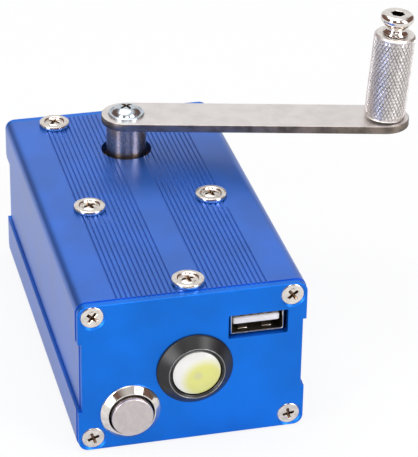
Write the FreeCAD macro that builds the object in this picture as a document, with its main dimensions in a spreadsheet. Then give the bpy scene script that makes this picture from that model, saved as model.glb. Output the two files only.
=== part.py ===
import FreeCAD, Part
import math
import os
import Sketcher

# Hand crank generator, in millimetres.
# Frame: +X to the right of the front plate, +Y to the back, +Z up.
# The origin is the centre of the case's bottom face, which the object rests on.

SIZES = {
    # Case
    "case_width": 54.0,
    "case_height": 39.0,
    "case_length": 95.5,
    "plate_thick": 2.0,
    "plate_inset": 0.2,
    "corner_round": 2.6,
    "side_wall": 2.0,
    "top_wall": 2.5,
    "floor_wall": 2.5,
    "ledge_depth": 0.8,
    "lower_ledge_top": 10.7,
    "upper_ledge_drop": 10.0,
    "seam_open": 0.35,
    "lap_thick": 1.0,
    "lap_height": 3.0,
    "lap_gap": 0.05,
    # Fine grooves along the top
    "groove_count": 13,
    "groove_pitch": 1.15,
    "groove_first": 3.6,
    "groove_width": 0.5,
    "groove_depth": 0.4,
    # Screws that hold the end plates
    "end_screw_side": 3.65,
    "end_screw_level": 3.25,
    "end_screw_radius": 1.5,
    "end_screw_length": 8.0,
    "end_head_radius": 2.72,
    "end_sink_radius": 2.95,
    "boss_radius": 2.4,
    "thread_gap": 0.05,
    # Screws in the top of the case
    "frame_screw_x": 15.0,
    "frame_screw_setback": 5.75,
    "frame_screw_reach": 45.5,
    "board_screw_setback": 5.85,
    "board_screw_tail": 0.76,
    "top_screw_radius": 2.0,
    "top_screw_length": 10.0,
    "top_head_radius": 3.85,
    "top_head_height": 1.5,
    "clear_hole_gap": 0.2,
    "hole_spare": 1.0,
    "head_rounding_share": 0.6,
    # Cross recesses, as shares of the head's radius or height
    "sunk_recess_reach": 0.56,
    "sunk_recess_depth": 0.42,
    "pan_recess_reach": 0.5,
    "pan_recess_depth": 0.6,
    "recess_width": 0.22,
    # Crank shaft and its gearbox frame
    "shaft_x": 0.3,
    "shaft_setback": 22.25,
    "shaft_radius": 5.0,
    "shaft_hole_radius": 6.25,
    "shaft_rise": 7.7,
    "running_gap": 0.03,
    "bush_wall": 1.5,
    "bush_flange": 1.0,
    "bush_flange_radius": 8.0,
    "frame_side_gap": 0.75,
    "frame_back_gap": 0.55,
    "frame_length": 63.2,
    "frame_depth": 18.0,
    "top_frame_thick": 3.0,
    "base_frame_thick": 2.5,
    "pillar_radius": 3.5,
    "pillar_screw_radius": 1.5,
    "pillar_screw_length": 8.0,
    "pillar_head_radius": 2.75,
    # Gear train
    "coarse_module": 0.8,
    "middle_module": 0.6,
    "fine_module": 0.5,
    "crank_gear_teeth": 43,
    "first_pinion_teeth": 13,
    "first_gear_teeth": 38,
    "second_pinion_teeth": 12,
    "second_gear_teeth": 48,
    "rotor_pinion_teeth": 12,
    "tooth_backlash": 0.07,
    "crank_gear_rise": 10.3,
    "crank_gear_thick": 3.4,
    "crank_hub_radius": 7.5,
    "hub_pin_radius": 1.25,
    "first_gear_rise": 6.5,
    "first_gear_thick": 2.6,
    "first_pinion_rise": 9.9,
    "second_gear_rise": 3.0,
    "second_gear_thick": 2.3,
    "second_pinion_rise": 5.9,
    "second_pinion_thick": 3.8,
    "rotor_pinion_thick": 2.7,
    "axle_radius": 2.0,
    "axle_past_clip": 0.15,
    "first_collar_wall": 1.6,
    "second_collar_wall": 0.9,
    "tooth_overlap": 0.4,
    "pinion_drop": 0.2,
    "clip_radius": 3.4,
    "clip_thick": 0.5,
    "clip_groove": 0.4,
    "clip_mouth_half": 1.3,
    "clip_mouth_start": 1.0,
    "end_play": 0.2,
    # Generator
    "can_radius": 17.0,
    "can_floor_gap": 2.0,
    "can_wall": 1.2,
    "can_lid": 1.5,
    "stator_bore": 8.6,
    "stator_yoke": 2.2,
    "pole_count": 6,
    "pole_width": 4.4,
    "coil_thick": 1.2,
    "coil_lid_gap": 1.3,
    "magnet_radius": 8.1,
    "magnet_overhang": 0.3,
    "rotor_shaft_radius": 1.5,
    "bearing_radius": 4.0,
    "bearing_height": 3.0,
    "bearing_wall": 1.2,
    "bearing_sink": 0.3,
    "lid_spigot_wall": 1.2,
    "coil_start_gap": 0.9,
    "coil_end_gap": 0.5,
    "pole_root": 0.6,
    "pole_spare": 0.4,
    "rotor_shaft_setback": 0.2,
    "can_screw_radius": 1.25,
    "can_screw_ring": 12.5,
    # Crank arm, its screw, the pin and the grip
    "arm_length": 64.5,
    "arm_width": 12.5,
    "arm_thick": 2.0,
    "arm_turn": -13.5,
    "spigot_radius": 3.5,
    "spigot_flat": 2.9,
    "spigot_height": 1.8,
    "arm_screw_radius": 2.5,
    "arm_screw_length": 12.0,
    "arm_head_radius": 4.55,
    "arm_head_height": 2.2,
    "pin_lean": 4.0,
    "pin_radius": 2.5,
    "pin_rivet_radius": 1.9,
    "pin_head_radius": 4.15,
    "pin_head_foot": 25.6,
    "pin_head_height": 2.6,
    "pin_head_rounding": 1.22,
    "pin_shoulder": 0.45,
    "pin_shoulder_slope": 0.2,
    "pin_foot_gap": 0.05,
    "pin_hex": 3.0,
    "pin_hex_depth": 1.6,
    "grip_radius": 5.15,
    "grip_length": 22.3,
    "grip_gap": 0.45,
    "grip_chamfer": 0.5,
    # Socket
    "usb_x": 15.3,
    "usb_drop": 9.9,
    "usb_cut_width": 14.1,
    "usb_cut_height": 6.1,
    "usb_shell_width": 13.1,
    "usb_shell_height": 5.72,
    "usb_shell_wall": 0.3,
    "usb_shell_length": 14.0,
    "usb_recess": 1.0,
    "tongue_width": 11.1,
    "tongue_thick": 1.84,
    "tongue_rise": 0.35,
    "tongue_setback": 0.8,
    "tongue_root": 3.0,
    "contact_width": 1.0,
    "contact_pitch": 2.2,
    "contact_thick": 0.25,
    "contact_setback": 0.3,
    # Circuit board
    "board_thick": 1.2,
    "board_side_gap": 0.3,
    "board_front_gap": 0.3,
    "board_frame_gap": 2.4,
    "rail_thick": 1.0,
    "rail_reach": 1.2,
    "board_nut_thick": 2.2,
    "board_nut_half": 3.5,
    "board_spacer_radius": 3.5,
    "regulator_x": -8.0,
    "regulator_setback": 10.4,
    "regulator_wide": 6.4,
    "regulator_long": 6.8,
    "regulator_tall": 2.0,
    "rectifier_x": -8.0,
    "rectifier_setback": 3.4,
    "rectifier_wide": 8.0,
    "rectifier_long": 4.8,
    "rectifier_tall": 3.4,
    "inductor_x": 1.0,
    "inductor_setback": 4.4,
    "inductor_wide": 6.8,
    "inductor_long": 6.8,
    "inductor_tall": 3.2,
    "capacitor_edge_gap": 0.9,
    "capacitor_setback": 5.0,
    "capacitor_radius": 4.0,
    "capacitor_tall": 11.0,
    # Lamp
    "lamp_x": 0.4,
    "lamp_below_middle": 0.2,
    "lamp_bezel_radius": 9.05,
    "lamp_lip_radius": 6.75,
    "lamp_proud": 2.6,
    "lamp_thread_radius": 8.0,
    "lamp_bore": 6.0,
    "lamp_gear_gap": 5.4,
    "lamp_rim_edge": 0.4,
    "lamp_ledge": 2.0,
    "lamp_floor": 4.0,
    "lens_radius": 5.75,
    "lens_dome": 2.4,
    "lens_sink": 1.6,
    "lens_foot": 2.6,
    "lens_flange_thick": 1.2,
    "lens_gap": 0.05,
    "emitter_gap": 0.3,
    "emitter_board": 0.7,
    "emitter_chip_radius": 2.2,
    "emitter_chip_rise": 0.6,
    "insulator_wall": 0.8,
    "insulator_thick": 1.0,
    "insulator_plug": 3.0,
    "panel_gap": 0.08,
    "lamp_nut_radius": 9.2,
    "nut_thick": 2.4,
    # Push button
    "button_x": -14.7,
    "button_z": 9.7,
    "button_bezel_radius": 7.15,
    "button_lip_radius": 5.7,
    "button_proud": 1.7,
    "button_thread_radius": 6.0,
    "button_bore": 5.15,
    "button_depth": 16.0,
    "cap_radius": 4.95,
    "cap_proud": 2.9,
    "cap_height": 6.0,
    "cap_rounding": 0.35,
    "button_rim_edge": 0.35,
    "button_floor": 1.0,
    "stem_radius": 1.4,
    "stem_gap": 0.1,
    "stem_reach": 0.6,
    "contact_block_thick": 3.0,
    "contact_block_wall": 0.5,
    "button_nut_flats": 13.8,
    "spring_wire": 0.4,
    "spring_clear": 1.0,
    "spring_turns": 5,
    # Solder pins behind the lamp and the button
    "solder_pin_radius": 0.5,
    "solder_pin_length": 2.2,
    "lamp_pin_spread": 5.0,
    "button_pin_spread": 4.4,
}

# How far a cutting shape runs past the surface that it starts from
PAST = 1.0

# Half the side of a hexagon, as a share of half the distance across its flats
HEXAGON_SIDE = math.tan(math.radians(30.0))

DOC = FreeCAD.newDocument("hand_crank_generator")
PARTS = []


class Size:
    """A length that knows its number and the sheet formula it comes from."""

    def __init__(self, value, text):
        self.value = value
        self.text = text

    def _join(self, other, sign, value):
        return Size(value, "(" + self.text + sign + as_text(other) + ")")

    def __add__(self, other):
        return self._join(other, " + ", self.value + as_value(other))

    def __sub__(self, other):
        return self._join(other, " - ", self.value - as_value(other))

    def __mul__(self, other):
        return self._join(other, " * ", self.value * as_value(other))

    def __truediv__(self, other):
        return self._join(other, " / ", self.value / as_value(other))

    def __radd__(self, other):
        return Size(other, repr(float(other))) + self

    def __rsub__(self, other):
        return Size(other, repr(float(other))) - self

    def __rmul__(self, other):
        return Size(other, repr(float(other))) * self

    def __neg__(self):
        return Size(-self.value, "(-1 * " + self.text + ")")


def as_text(item):
    return item.text if isinstance(item, Size) else repr(float(item))


def as_value(item):
    return item.value if isinstance(item, Size) else float(item)


def cosine(angle):
    return Size(math.cos(math.radians(angle.value)), "cos(" + angle.text + ")")


def sine(angle):
    return Size(math.sin(math.radians(angle.value)), "sin(" + angle.text + ")")


def make_sheet():
    """Write every driving size to the sheet and hand back the sizes by name."""
    sheet = DOC.addObject("Spreadsheet::Sheet", "Sizes")
    sizes = {}
    for row, (name, number) in enumerate(SIZES.items(), start=1):
        sheet.set("A%d" % row, name)
        sheet.set("B%d" % row, str(number))
        sheet.setAlias("B%d" % row, name)
        sizes[name] = Size(float(number), "Sizes." + name)
    DOC.recompute()
    return type("Sizes", (), sizes)


S = make_sheet()

# Places that several pieces share
FRONT = -S.case_length / 2
SHELL_FRONT = FRONT + S.plate_thick
SHELL_BACK = -SHELL_FRONT
BACK = -FRONT
HALF_WIDTH = S.case_width / 2
BAND_X = HALF_WIDTH - S.ledge_depth
INNER_X = BAND_X - S.side_wall
CEILING = S.case_height - S.top_wall
UPPER_LEDGE = S.case_height - S.upper_ledge_drop
TOP_FRAME_FOOT = CEILING - S.top_frame_thick
BASE_FRAME_FOOT = CEILING - S.frame_depth
BASE_FRAME_TOP = BASE_FRAME_FOOT + S.base_frame_thick
ARM_FOOT = S.case_height + S.shaft_rise
ARM_TOP = ARM_FOOT + S.arm_thick
USB_Z = S.case_height - S.usb_drop
BOARD_FOOT = USB_Z + S.usb_shell_height / 2
BOARD_TOP = BOARD_FOOT + S.board_thick
CRANK_GEAR_FOOT = BASE_FRAME_FOOT + S.crank_gear_rise
FIRST_GEAR_FOOT = BASE_FRAME_FOOT + S.first_gear_rise
FIRST_PINION_FOOT = BASE_FRAME_FOOT + S.first_pinion_rise
SECOND_GEAR_FOOT = BASE_FRAME_FOOT + S.second_gear_rise
SECOND_PINION_FOOT = BASE_FRAME_FOOT + S.second_pinion_rise
ROTOR_PINION_FOOT = SECOND_GEAR_FOOT - S.pinion_drop
IDLER_SPACING = S.coarse_module * (S.crank_gear_teeth + S.first_pinion_teeth) / 2
SECOND_SPACING = S.middle_module * (S.first_gear_teeth + S.second_pinion_teeth) / 2
SHAFT_Y = BACK - S.shaft_setback
ROTOR_Y = SHAFT_Y - IDLER_SPACING
SECOND_Y = ROTOR_Y - SECOND_SPACING
SHAFT_AXIS = (S.shaft_x, SHAFT_Y)
ROTOR_AXIS = (S.shaft_x, ROTOR_Y)
SECOND_AXIS = (S.shaft_x, SECOND_Y)
END_SCREW_X = HALF_WIDTH - S.end_screw_side
UPPER_SCREW_LEVEL = S.case_height - S.end_screw_level
END_SCREWS = [
    (side * END_SCREW_X, level)
    for side in (-1, 1)
    for level in (S.end_screw_level, UPPER_SCREW_LEVEL)
]
FRAME_BACK = SHELL_BACK - S.frame_back_gap
FRAME_FRONT = FRAME_BACK - S.frame_length
FRAME_HALF_WIDTH = END_SCREW_X - S.boss_radius - S.frame_side_gap
FRAME_SCREW_BACK = BACK - S.frame_screw_setback
FRAME_SCREWS = [
    (side * S.frame_screw_x, along)
    for side in (-1, 1)
    for along in (FRAME_SCREW_BACK - S.frame_screw_reach, FRAME_SCREW_BACK)
]
BOARD_SCREW_Y = FRONT + S.board_screw_setback
BOARD_BACK = FRAME_FRONT - S.board_frame_gap
BOARD_EDGE = INNER_X - S.board_side_gap


# Drawing and shaping helpers

PLANES = {"x": "YZ_Plane", "y": "XZ_Plane", "z": "XY_Plane"}


def bind(item, prop, size):
    item.setExpression(prop, as_text(size))


def place(item, at=(0, 0, 0), axis=(0, 0, 1), angle=0.0):
    """Put an object at a point, turned about an axis through its own origin."""
    turn = FreeCAD.Rotation(FreeCAD.Vector(*axis), 1.0)
    item.Placement = FreeCAD.Placement(FreeCAD.Vector(*[as_value(v) for v in at]), turn)
    bind(item, ".Placement.Rotation.Angle", angle)
    for letter, size in zip("xyz", at):
        bind(item, ".Placement.Base." + letter, size)


def new_body(label, keep=True):
    body = DOC.addObject("PartDesign::Body", label)
    body.Label = label
    if keep:
        PARTS.append(body)
    return body


def disc(x, y, radius):
    return ("disc", x, y, radius)


def block(x_low, y_low, x_high, y_high):
    return ("outline", [(x_low, y_low), (x_high, y_low), (x_high, y_high), (x_low, y_high)])


def outline(points):
    return ("outline", points)


def unit_step(start, end):
    """Direction of an edge that runs along one sketch axis, or along neither."""
    across = as_value(end[0]) - as_value(start[0])
    along = as_value(end[1]) - as_value(start[1])
    reach = math.hypot(across, along)
    return round(across / reach), round(along / reach)


def expand_corners(points):
    """Replace each rounded corner (x, y, radius) by the two ends of its arc."""
    nodes = []
    for index, point in enumerate(points):
        if len(point) == 2:
            nodes.append((point[0], point[1], None))
            continue
        x, y, radius = point
        back = unit_step(points[index - 1], point)
        ahead = unit_step(point, points[(index + 1) % len(points)])
        centre = (x - back[0] * radius + ahead[0] * radius, y - back[1] * radius + ahead[1] * radius)
        turn = back[0] * ahead[1] - back[1] * ahead[0]
        nodes.append((x - back[0] * radius, y - back[1] * radius, (radius, centre, turn)))
        nodes.append((x + ahead[0] * radius, y + ahead[1] * radius, None))
    return nodes


def draw_outline(shapes, rules, points):
    """Lines and quarter arcs round a closed outline, each corner tied to the sheet."""
    nodes = expand_corners(points)
    first = len(shapes)
    count = len(nodes)
    starts = []
    for index, node in enumerate(nodes):
        follow = nodes[(index + 1) % count]
        here = FreeCAD.Vector(as_value(node[0]), as_value(node[1]), 0)
        there = FreeCAD.Vector(as_value(follow[0]), as_value(follow[1]), 0)
        if node[2] is None:
            shapes.append(Part.LineSegment(here, there))
            starts.append((1, 2))
            continue
        radius, centre, turn = node[2]
        middle = FreeCAD.Vector(as_value(centre[0]), as_value(centre[1]), 0)
        circle = Part.Circle(middle, FreeCAD.Vector(0, 0, 1), as_value(radius))
        begin, finish = (here, there) if turn > 0 else (there, here)
        angles = [math.atan2(p.y - middle.y, p.x - middle.x) for p in (begin, finish)]
        shapes.append(Part.ArcOfCircle(circle, angles[0], angles[1]))
        starts.append((1, 2) if turn > 0 else (2, 1))
        rules.append(("Radius", (first + index,), radius))
    for index in range(count):
        follow = (index + 1) % count
        ends = (first + index, starts[index][1], first + follow, starts[follow][0])
        rules.append(("Coincident", ends, None))
        for kind, size in zip(("DistanceX", "DistanceY"), nodes[index]):
            rules.append((kind, (-1, 1, first + index, starts[index][0]), size))


def draw(body, axis, items, level, name):
    """One sketch square to an axis at the given level, every size bound to the sheet."""
    sketch = body.newObject("Sketcher::SketchObject", name)
    plane = [f for f in body.Origin.OriginFeatures if f.Role == PLANES[axis]][0]
    sketch.AttachmentSupport = [(plane, "")]
    sketch.MapMode = "FlatFace"
    bind(sketch, "AttachmentOffset.Base.z", 0 - level if axis == "y" else level)
    shapes = []
    rules = []
    for item in items:
        if item[0] == "outline":
            draw_outline(shapes, rules, item[1])
            continue
        _, x, y, radius = item
        middle = FreeCAD.Vector(as_value(x), as_value(y), 0)
        index = len(shapes)
        shapes.append(Part.Circle(middle, FreeCAD.Vector(0, 0, 1), as_value(radius)))
        rules.append(("Radius", (index,), radius))
        rules.append(("DistanceX", (-1, 1, index, 3), x))
        rules.append(("DistanceY", (-1, 1, index, 3), y))
    sketch.addGeometry(shapes, False)
    constraints = []
    for kind, ends, size in rules:
        values = list(ends) + ([] if size is None else [as_value(size)])
        constraints.append(Sketcher.Constraint(kind, *values))
    sketch.addConstraint(constraints)
    for index, (kind, ends, size) in enumerate(rules):
        if size is not None:
            bind(sketch, "Constraints[%d]" % index, size)
    return sketch


def add(body, axis, items, low, high):
    """Solid between two levels along an axis."""
    sketch = draw(body, axis, items, high if axis == "y" else low, "outline")
    pad = body.newObject("PartDesign::Pad", "solid")
    pad.Profile = sketch
    bind(pad, "Length", high - low)
    body.Tip = pad
    return pad


def cut(body, axis, items, low, high):
    """Opening between two levels along an axis."""
    sketch = draw(body, axis, items, low if axis == "y" else high, "opening")
    pocket = body.newObject("PartDesign::Pocket", "cut")
    pocket.Profile = sketch
    bind(pocket, "Length", high - low)
    body.Tip = pocket
    return pocket


def turn_solid(body, points):
    """Solid of revolution about the body's own Z axis from (radius, height) corners."""
    sketch = draw(body, "y", [outline(points)], 0, "half_section")
    solid = body.newObject("PartDesign::Revolution", "turned")
    solid.Profile = sketch
    solid.ReferenceAxis = (sketch, ["V_Axis"])
    solid.Angle = 360.0
    body.Tip = solid
    return solid


def countersink(body, at, radius, depth, axis=(0, 0, 1), angle=0.0):
    """Cone widest at the given point, narrowing along its own +Z as far as it widens."""
    cone = body.newObject("PartDesign::SubtractiveCone", "countersink")
    bind(cone, "Radius1", radius)
    bind(cone, "Radius2", radius - depth)
    bind(cone, "Height", depth)
    place(cone, at, axis, angle)
    body.Tip = cone


def round_edges(body, test, radius):
    """Fillet the edges of the body's last shape that pass the test."""
    DOC.recompute()
    base = body.Tip
    names = ["Edge%d" % n for n, edge in enumerate(base.Shape.Edges, start=1) if test(edge)]
    fillet = body.newObject("PartDesign::Fillet", "rounding")
    fillet.Base = (base, names)
    bind(fillet, "Radius", radius)
    body.Tip = fillet
    return fillet


def bevel_edges(body, test, size):
    """Chamfer the edges of the body's last shape that pass the test."""
    DOC.recompute()
    base = body.Tip
    names = ["Edge%d" % n for n, edge in enumerate(base.Shape.Edges, start=1) if test(edge)]
    chamfer = body.newObject("PartDesign::Chamfer", "bevel")
    chamfer.Base = (base, names)
    bind(chamfer, "Size", size)
    body.Tip = chamfer
    return chamfer


def ring_edge(height, radius):
    """Test for a full circle about the Z axis at one height and radius."""
    def test(edge):
        curve = edge.Curve
        if not isinstance(curve, Part.Circle) or abs(edge.Length - 2 * math.pi * curve.Radius) > 1e-3:
            return False
        return abs(curve.Center.z - as_value(height)) < 1e-4 and abs(curve.Radius - as_value(radius)) < 1e-4
    return test


def copies(label, master, places):
    """One node of several identical solids: a copy of the master at each place."""
    links = []
    for at, axis, angle in places:
        link = DOC.addObject("App::Link", label + "_copy")
        link.LinkedObject = master
        place(link, at, axis, angle)
        links.append(link)
    group = DOC.addObject("Part::Compound", label)
    group.Label = label
    group.Links = links
    PARTS.append(group)
    return group


def upright(spots, level):
    return [((x, y, level), (0, 0, 1), 0.0) for x, y in spots]


# Case

def shell_bosses(body, level):
    """Screw channels along the two corners of one half of the case."""
    spots = [(side * END_SCREW_X, level) for side in (-1, 1)]
    add(body, "y", [disc(x, z, S.boss_radius) for x, z in spots], SHELL_FRONT, SHELL_BACK)
    hole = S.end_screw_radius + S.thread_gap
    cut(body, "y", [disc(x, z, hole) for x, z in spots], SHELL_FRONT, SHELL_BACK)


def top_grooves(body, side):
    """A band of fine grooves along one side of the top's middle strip."""
    middle = side * S.groove_first
    half = S.groove_width / 2
    item = block(middle - half, S.case_height - S.groove_depth, middle + half, S.case_height + PAST)
    groove = cut(body, "y", [item], SHELL_FRONT, SHELL_BACK)
    pattern = body.newObject("PartDesign::LinearPattern", "groove_band")
    pattern.Originals = [groove]
    pattern.Direction = (groove.Profile[0], ["H_Axis"])
    pattern.Reversed = side < 0
    bind(pattern, "Length", (S.groove_count - 1) * S.groove_pitch)
    bind(pattern, "Occurrences", S.groove_count)
    body.Tip = pattern


def make_upper_shell():
    body = new_body("upper_shell")
    tongue = INNER_X + S.lap_thick
    tongue_foot = S.lower_ledge_top - S.lap_height
    wall_foot = S.lower_ledge_top + S.seam_open
    right = [
        (INNER_X, CEILING), (INNER_X, tongue_foot), (tongue, tongue_foot), (tongue, wall_foot),
        (BAND_X, wall_foot), (BAND_X, UPPER_LEDGE), (HALF_WIDTH, UPPER_LEDGE),
        (HALF_WIDTH, S.case_height, S.corner_round),
    ]
    left = [(-corner[0],) + corner[1:] for corner in reversed(right)]
    add(body, "y", [outline(right + left)], SHELL_FRONT, SHELL_BACK)
    shell_bosses(body, UPPER_SCREW_LEVEL)
    for side in (-1, 1):
        edges = sorted((side * (INNER_X - S.rail_reach), side * (INNER_X + S.lap_gap)), key=as_value)
        rail = block(edges[0], BOARD_FOOT - S.rail_thick, edges[1], BOARD_FOOT)
        add(body, "y", [rail], SHELL_FRONT, SHELL_BACK)
    for side in (-1, 1):
        top_grooves(body, side)
    hole = S.top_screw_radius + S.clear_hole_gap
    holes = [disc(x, y, hole) for x, y in FRAME_SCREWS]
    holes.append(disc(0, BOARD_SCREW_Y, hole))
    holes.append(disc(S.shaft_x, SHAFT_Y, S.shaft_hole_radius))
    cut(body, "z", holes, CEILING - PAST, S.case_height + PAST)


def make_lower_shell():
    body = new_body("lower_shell")
    lap = INNER_X + S.lap_thick + S.lap_gap
    lap_foot = S.lower_ledge_top - S.lap_height
    right = [
        (INNER_X, S.floor_wall), (INNER_X, lap_foot), (lap, lap_foot), (lap, S.lower_ledge_top),
        (HALF_WIDTH, S.lower_ledge_top), (HALF_WIDTH, 0, S.corner_round),
    ]
    left = [(-corner[0],) + corner[1:] for corner in reversed(right)]
    add(body, "y", [outline(right + left)], SHELL_FRONT, SHELL_BACK)
    shell_bosses(body, S.end_screw_level)


def plate_blank(body, low, high):
    """End plate outline: flush with the case less a hair, notched along the side bands."""
    edge = HALF_WIDTH - S.plate_inset
    notch = BAND_X - S.plate_inset
    rounding = S.corner_round - S.plate_inset
    right = [
        (edge, S.plate_inset, rounding), (edge, S.lower_ledge_top), (notch, S.lower_ledge_top),
        (notch, UPPER_LEDGE), (edge, UPPER_LEDGE),
        (edge, S.case_height - S.plate_inset, rounding),
    ]
    left = [(-corner[0],) + corner[1:] for corner in reversed(right)]
    add(body, "y", [outline(right + left)], low, high)
    hole = S.end_screw_radius + S.clear_hole_gap
    cut(body, "y", [disc(x, z, hole) for x, z in END_SCREWS], low, high)


def make_end_plates():
    front = new_body("front_plate")
    plate_blank(front, FRONT, SHELL_FRONT)
    half_wide = S.usb_cut_width / 2
    half_tall = S.usb_cut_height / 2
    openings = [
        block(S.usb_x - half_wide, USB_Z - half_tall, S.usb_x + half_wide, USB_Z + half_tall),
        disc(S.lamp_x, LAMP_Z, S.lamp_thread_radius + S.panel_gap),
        disc(S.button_x, S.button_z, S.button_thread_radius + S.panel_gap),
    ]
    cut(front, "y", openings, FRONT, SHELL_FRONT)
    rear = new_body("rear_plate")
    plate_blank(rear, SHELL_BACK, BACK)
    depth = S.end_sink_radius - S.end_screw_radius
    for x, z in END_SCREWS:
        countersink(front, (x, FRONT, z), S.end_sink_radius, depth, (1, 0, 0), -90.0)
        countersink(rear, (x, BACK, z), S.end_sink_radius, depth, (1, 0, 0), 90.0)


def cross_recess(body, reach, width, depth, top):
    """Cross slot in a screw head whose crown is at the given height."""
    half = width / 2
    for wide, tall in ((reach, half), (half, reach)):
        cut(body, "z", [block(-wide, -tall, wide, tall)], top - depth, top + PAST)


def countersunk_screw(label, head_radius, radius, length):
    """Countersunk cross-head screw, crown at its own Z = 0."""
    body = new_body(label, keep=False)
    turn_solid(body, [
        (0, 0), (0, -length), (radius, -length), (radius, radius - head_radius), (head_radius, 0),
    ])
    reach = head_radius * S.sunk_recess_reach
    cross_recess(body, reach, head_radius * S.recess_width, head_radius * S.sunk_recess_depth, 0)
    return body


def pan_screw(label, head_radius, head_height, radius, length):
    """Low domed cross-head screw, head resting at its own Z = 0."""
    body = new_body(label, keep=False)
    turn_solid(body, [
        (0, head_height), (0, -length), (radius, -length), (radius, 0), (head_radius, 0),
        (head_radius, head_height),
    ])
    round_edges(body, ring_edge(head_height, head_radius), head_height * S.head_rounding_share)
    reach = head_radius * S.pan_recess_reach
    depth = head_height * S.pan_recess_depth
    cross_recess(body, reach, head_radius * S.recess_width, depth, head_height)
    return body


def make_end_screws():
    screw = countersunk_screw("end_screw", S.end_head_radius, S.end_screw_radius, S.end_screw_length)
    seat = S.end_sink_radius - S.end_head_radius
    front = [((x, FRONT + seat, z), (1, 0, 0), 90.0) for x, z in END_SCREWS]
    rear = [((x, BACK - seat, z), (1, 0, 0), -90.0) for x, z in END_SCREWS]
    copies("front_plate_screws", screw, front)
    copies("rear_plate_screws", screw, rear)


def make_top_screws():
    sizes = (S.top_head_radius, S.top_head_height, S.top_screw_radius, S.top_screw_length)
    screw = pan_screw("top_screw", *sizes)
    copies("gearbox_top_screws", screw, upright(FRAME_SCREWS, S.case_height))
    length = S.case_height - BOARD_FOOT + S.board_nut_thick + S.board_screw_tail
    screw = pan_screw("board_screw_master", *sizes[:3], length)
    copies("board_screw", screw, upright([(0, BOARD_SCREW_Y)], S.case_height))


# Gearbox frame

def frame_plate(label, low, high):
    """Plate of the gearbox frame with the shaft bush hole and pillar holes."""
    body = new_body(label)
    item = block(-FRAME_HALF_WIDTH, FRAME_FRONT, FRAME_HALF_WIDTH, FRAME_BACK)
    add(body, "z", [item], low, high)
    cut(body, "z", [disc(S.shaft_x, SHAFT_Y, S.shaft_radius + S.bush_wall)], low, high)
    return body


def make_gearbox_frame():
    top = frame_plate("gearbox_top_plate", TOP_FRAME_FOOT, CEILING)
    hole = S.top_screw_radius + S.clear_hole_gap
    holes = [disc(x, y, hole) for x, y in FRAME_SCREWS]
    holes.append(disc(S.shaft_x, ROTOR_Y, S.axle_radius))
    holes.append(disc(S.shaft_x, SECOND_Y, S.axle_radius))
    cut(top, "z", holes, TOP_FRAME_FOOT, CEILING)
    base = frame_plate("gearbox_base_plate", BASE_FRAME_FOOT, BASE_FRAME_TOP)
    small = S.pillar_screw_radius + S.clear_hole_gap
    holes = [disc(x, y, small) for x, y in FRAME_SCREWS]
    holes.append(disc(S.shaft_x, SECOND_Y, S.axle_radius))
    holes.append(disc(S.shaft_x, ROTOR_Y, S.bearing_radius))
    holes += [disc(x, y, S.can_screw_radius + S.clear_hole_gap) for x, y in can_screw_spots()]
    cut(base, "z", holes, BASE_FRAME_FOOT, BASE_FRAME_TOP)
    sink = S.pillar_head_radius - S.pillar_screw_radius
    for x, y in FRAME_SCREWS:
        countersink(base, (x, y, BASE_FRAME_FOOT), S.pillar_head_radius, sink)
    sink = S.can_screw_radius
    for x, y in can_screw_spots():
        countersink(base, (x, y, BASE_FRAME_TOP), 2 * sink, sink, (1, 0, 0), 180.0)


def make_pillars():
    body = new_body("gearbox_pillar", keep=False)
    height = TOP_FRAME_FOOT - BASE_FRAME_TOP
    add(body, "z", [disc(0, 0, S.pillar_radius)], 0, height)
    hole = S.top_screw_radius + S.thread_gap
    depth = S.top_screw_length - S.top_wall - S.top_frame_thick + S.hole_spare
    cut(body, "z", [disc(0, 0, hole)], height - depth, height)
    hole = S.pillar_screw_radius + S.thread_gap
    cut(body, "z", [disc(0, 0, hole)], 0, S.pillar_screw_length - S.base_frame_thick + S.hole_spare)
    copies("gearbox_pillars", body, upright(FRAME_SCREWS, BASE_FRAME_TOP))
    sizes = (S.pillar_head_radius, S.pillar_screw_radius, S.pillar_screw_length)
    screw = countersunk_screw("pillar_screw", *sizes)
    below = [((x, y, BASE_FRAME_FOOT), (1, 0, 0), 180.0) for x, y in FRAME_SCREWS]
    copies("gearbox_base_screws", screw, below)


def make_shaft_bushes():
    bore = S.shaft_radius + S.running_gap
    outer = S.shaft_radius + S.bush_wall
    for label, foot, thick, flange in (
        ("upper_shaft_bush", TOP_FRAME_FOOT, S.top_frame_thick, -1),
        ("lower_shaft_bush", BASE_FRAME_FOOT, S.base_frame_thick, 1),
    ):
        body = new_body(label)
        low = foot - S.bush_flange if flange < 0 else foot + thick
        add(body, "z", [disc(0, 0, outer)], foot, foot + thick)
        add(body, "z", [disc(0, 0, S.bush_flange_radius)], low, low + S.bush_flange)
        cut(body, "z", [disc(0, 0, bore)], foot - S.bush_flange, foot + thick + S.bush_flange)
        place(body, (S.shaft_x, SHAFT_Y, 0))


# Gear train

PRESSURE_ANGLE = math.radians(25.0)
TIP_SHARE = 0.9
ROOT_SHARE = 1.2
FLANK_POINTS = 5


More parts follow.
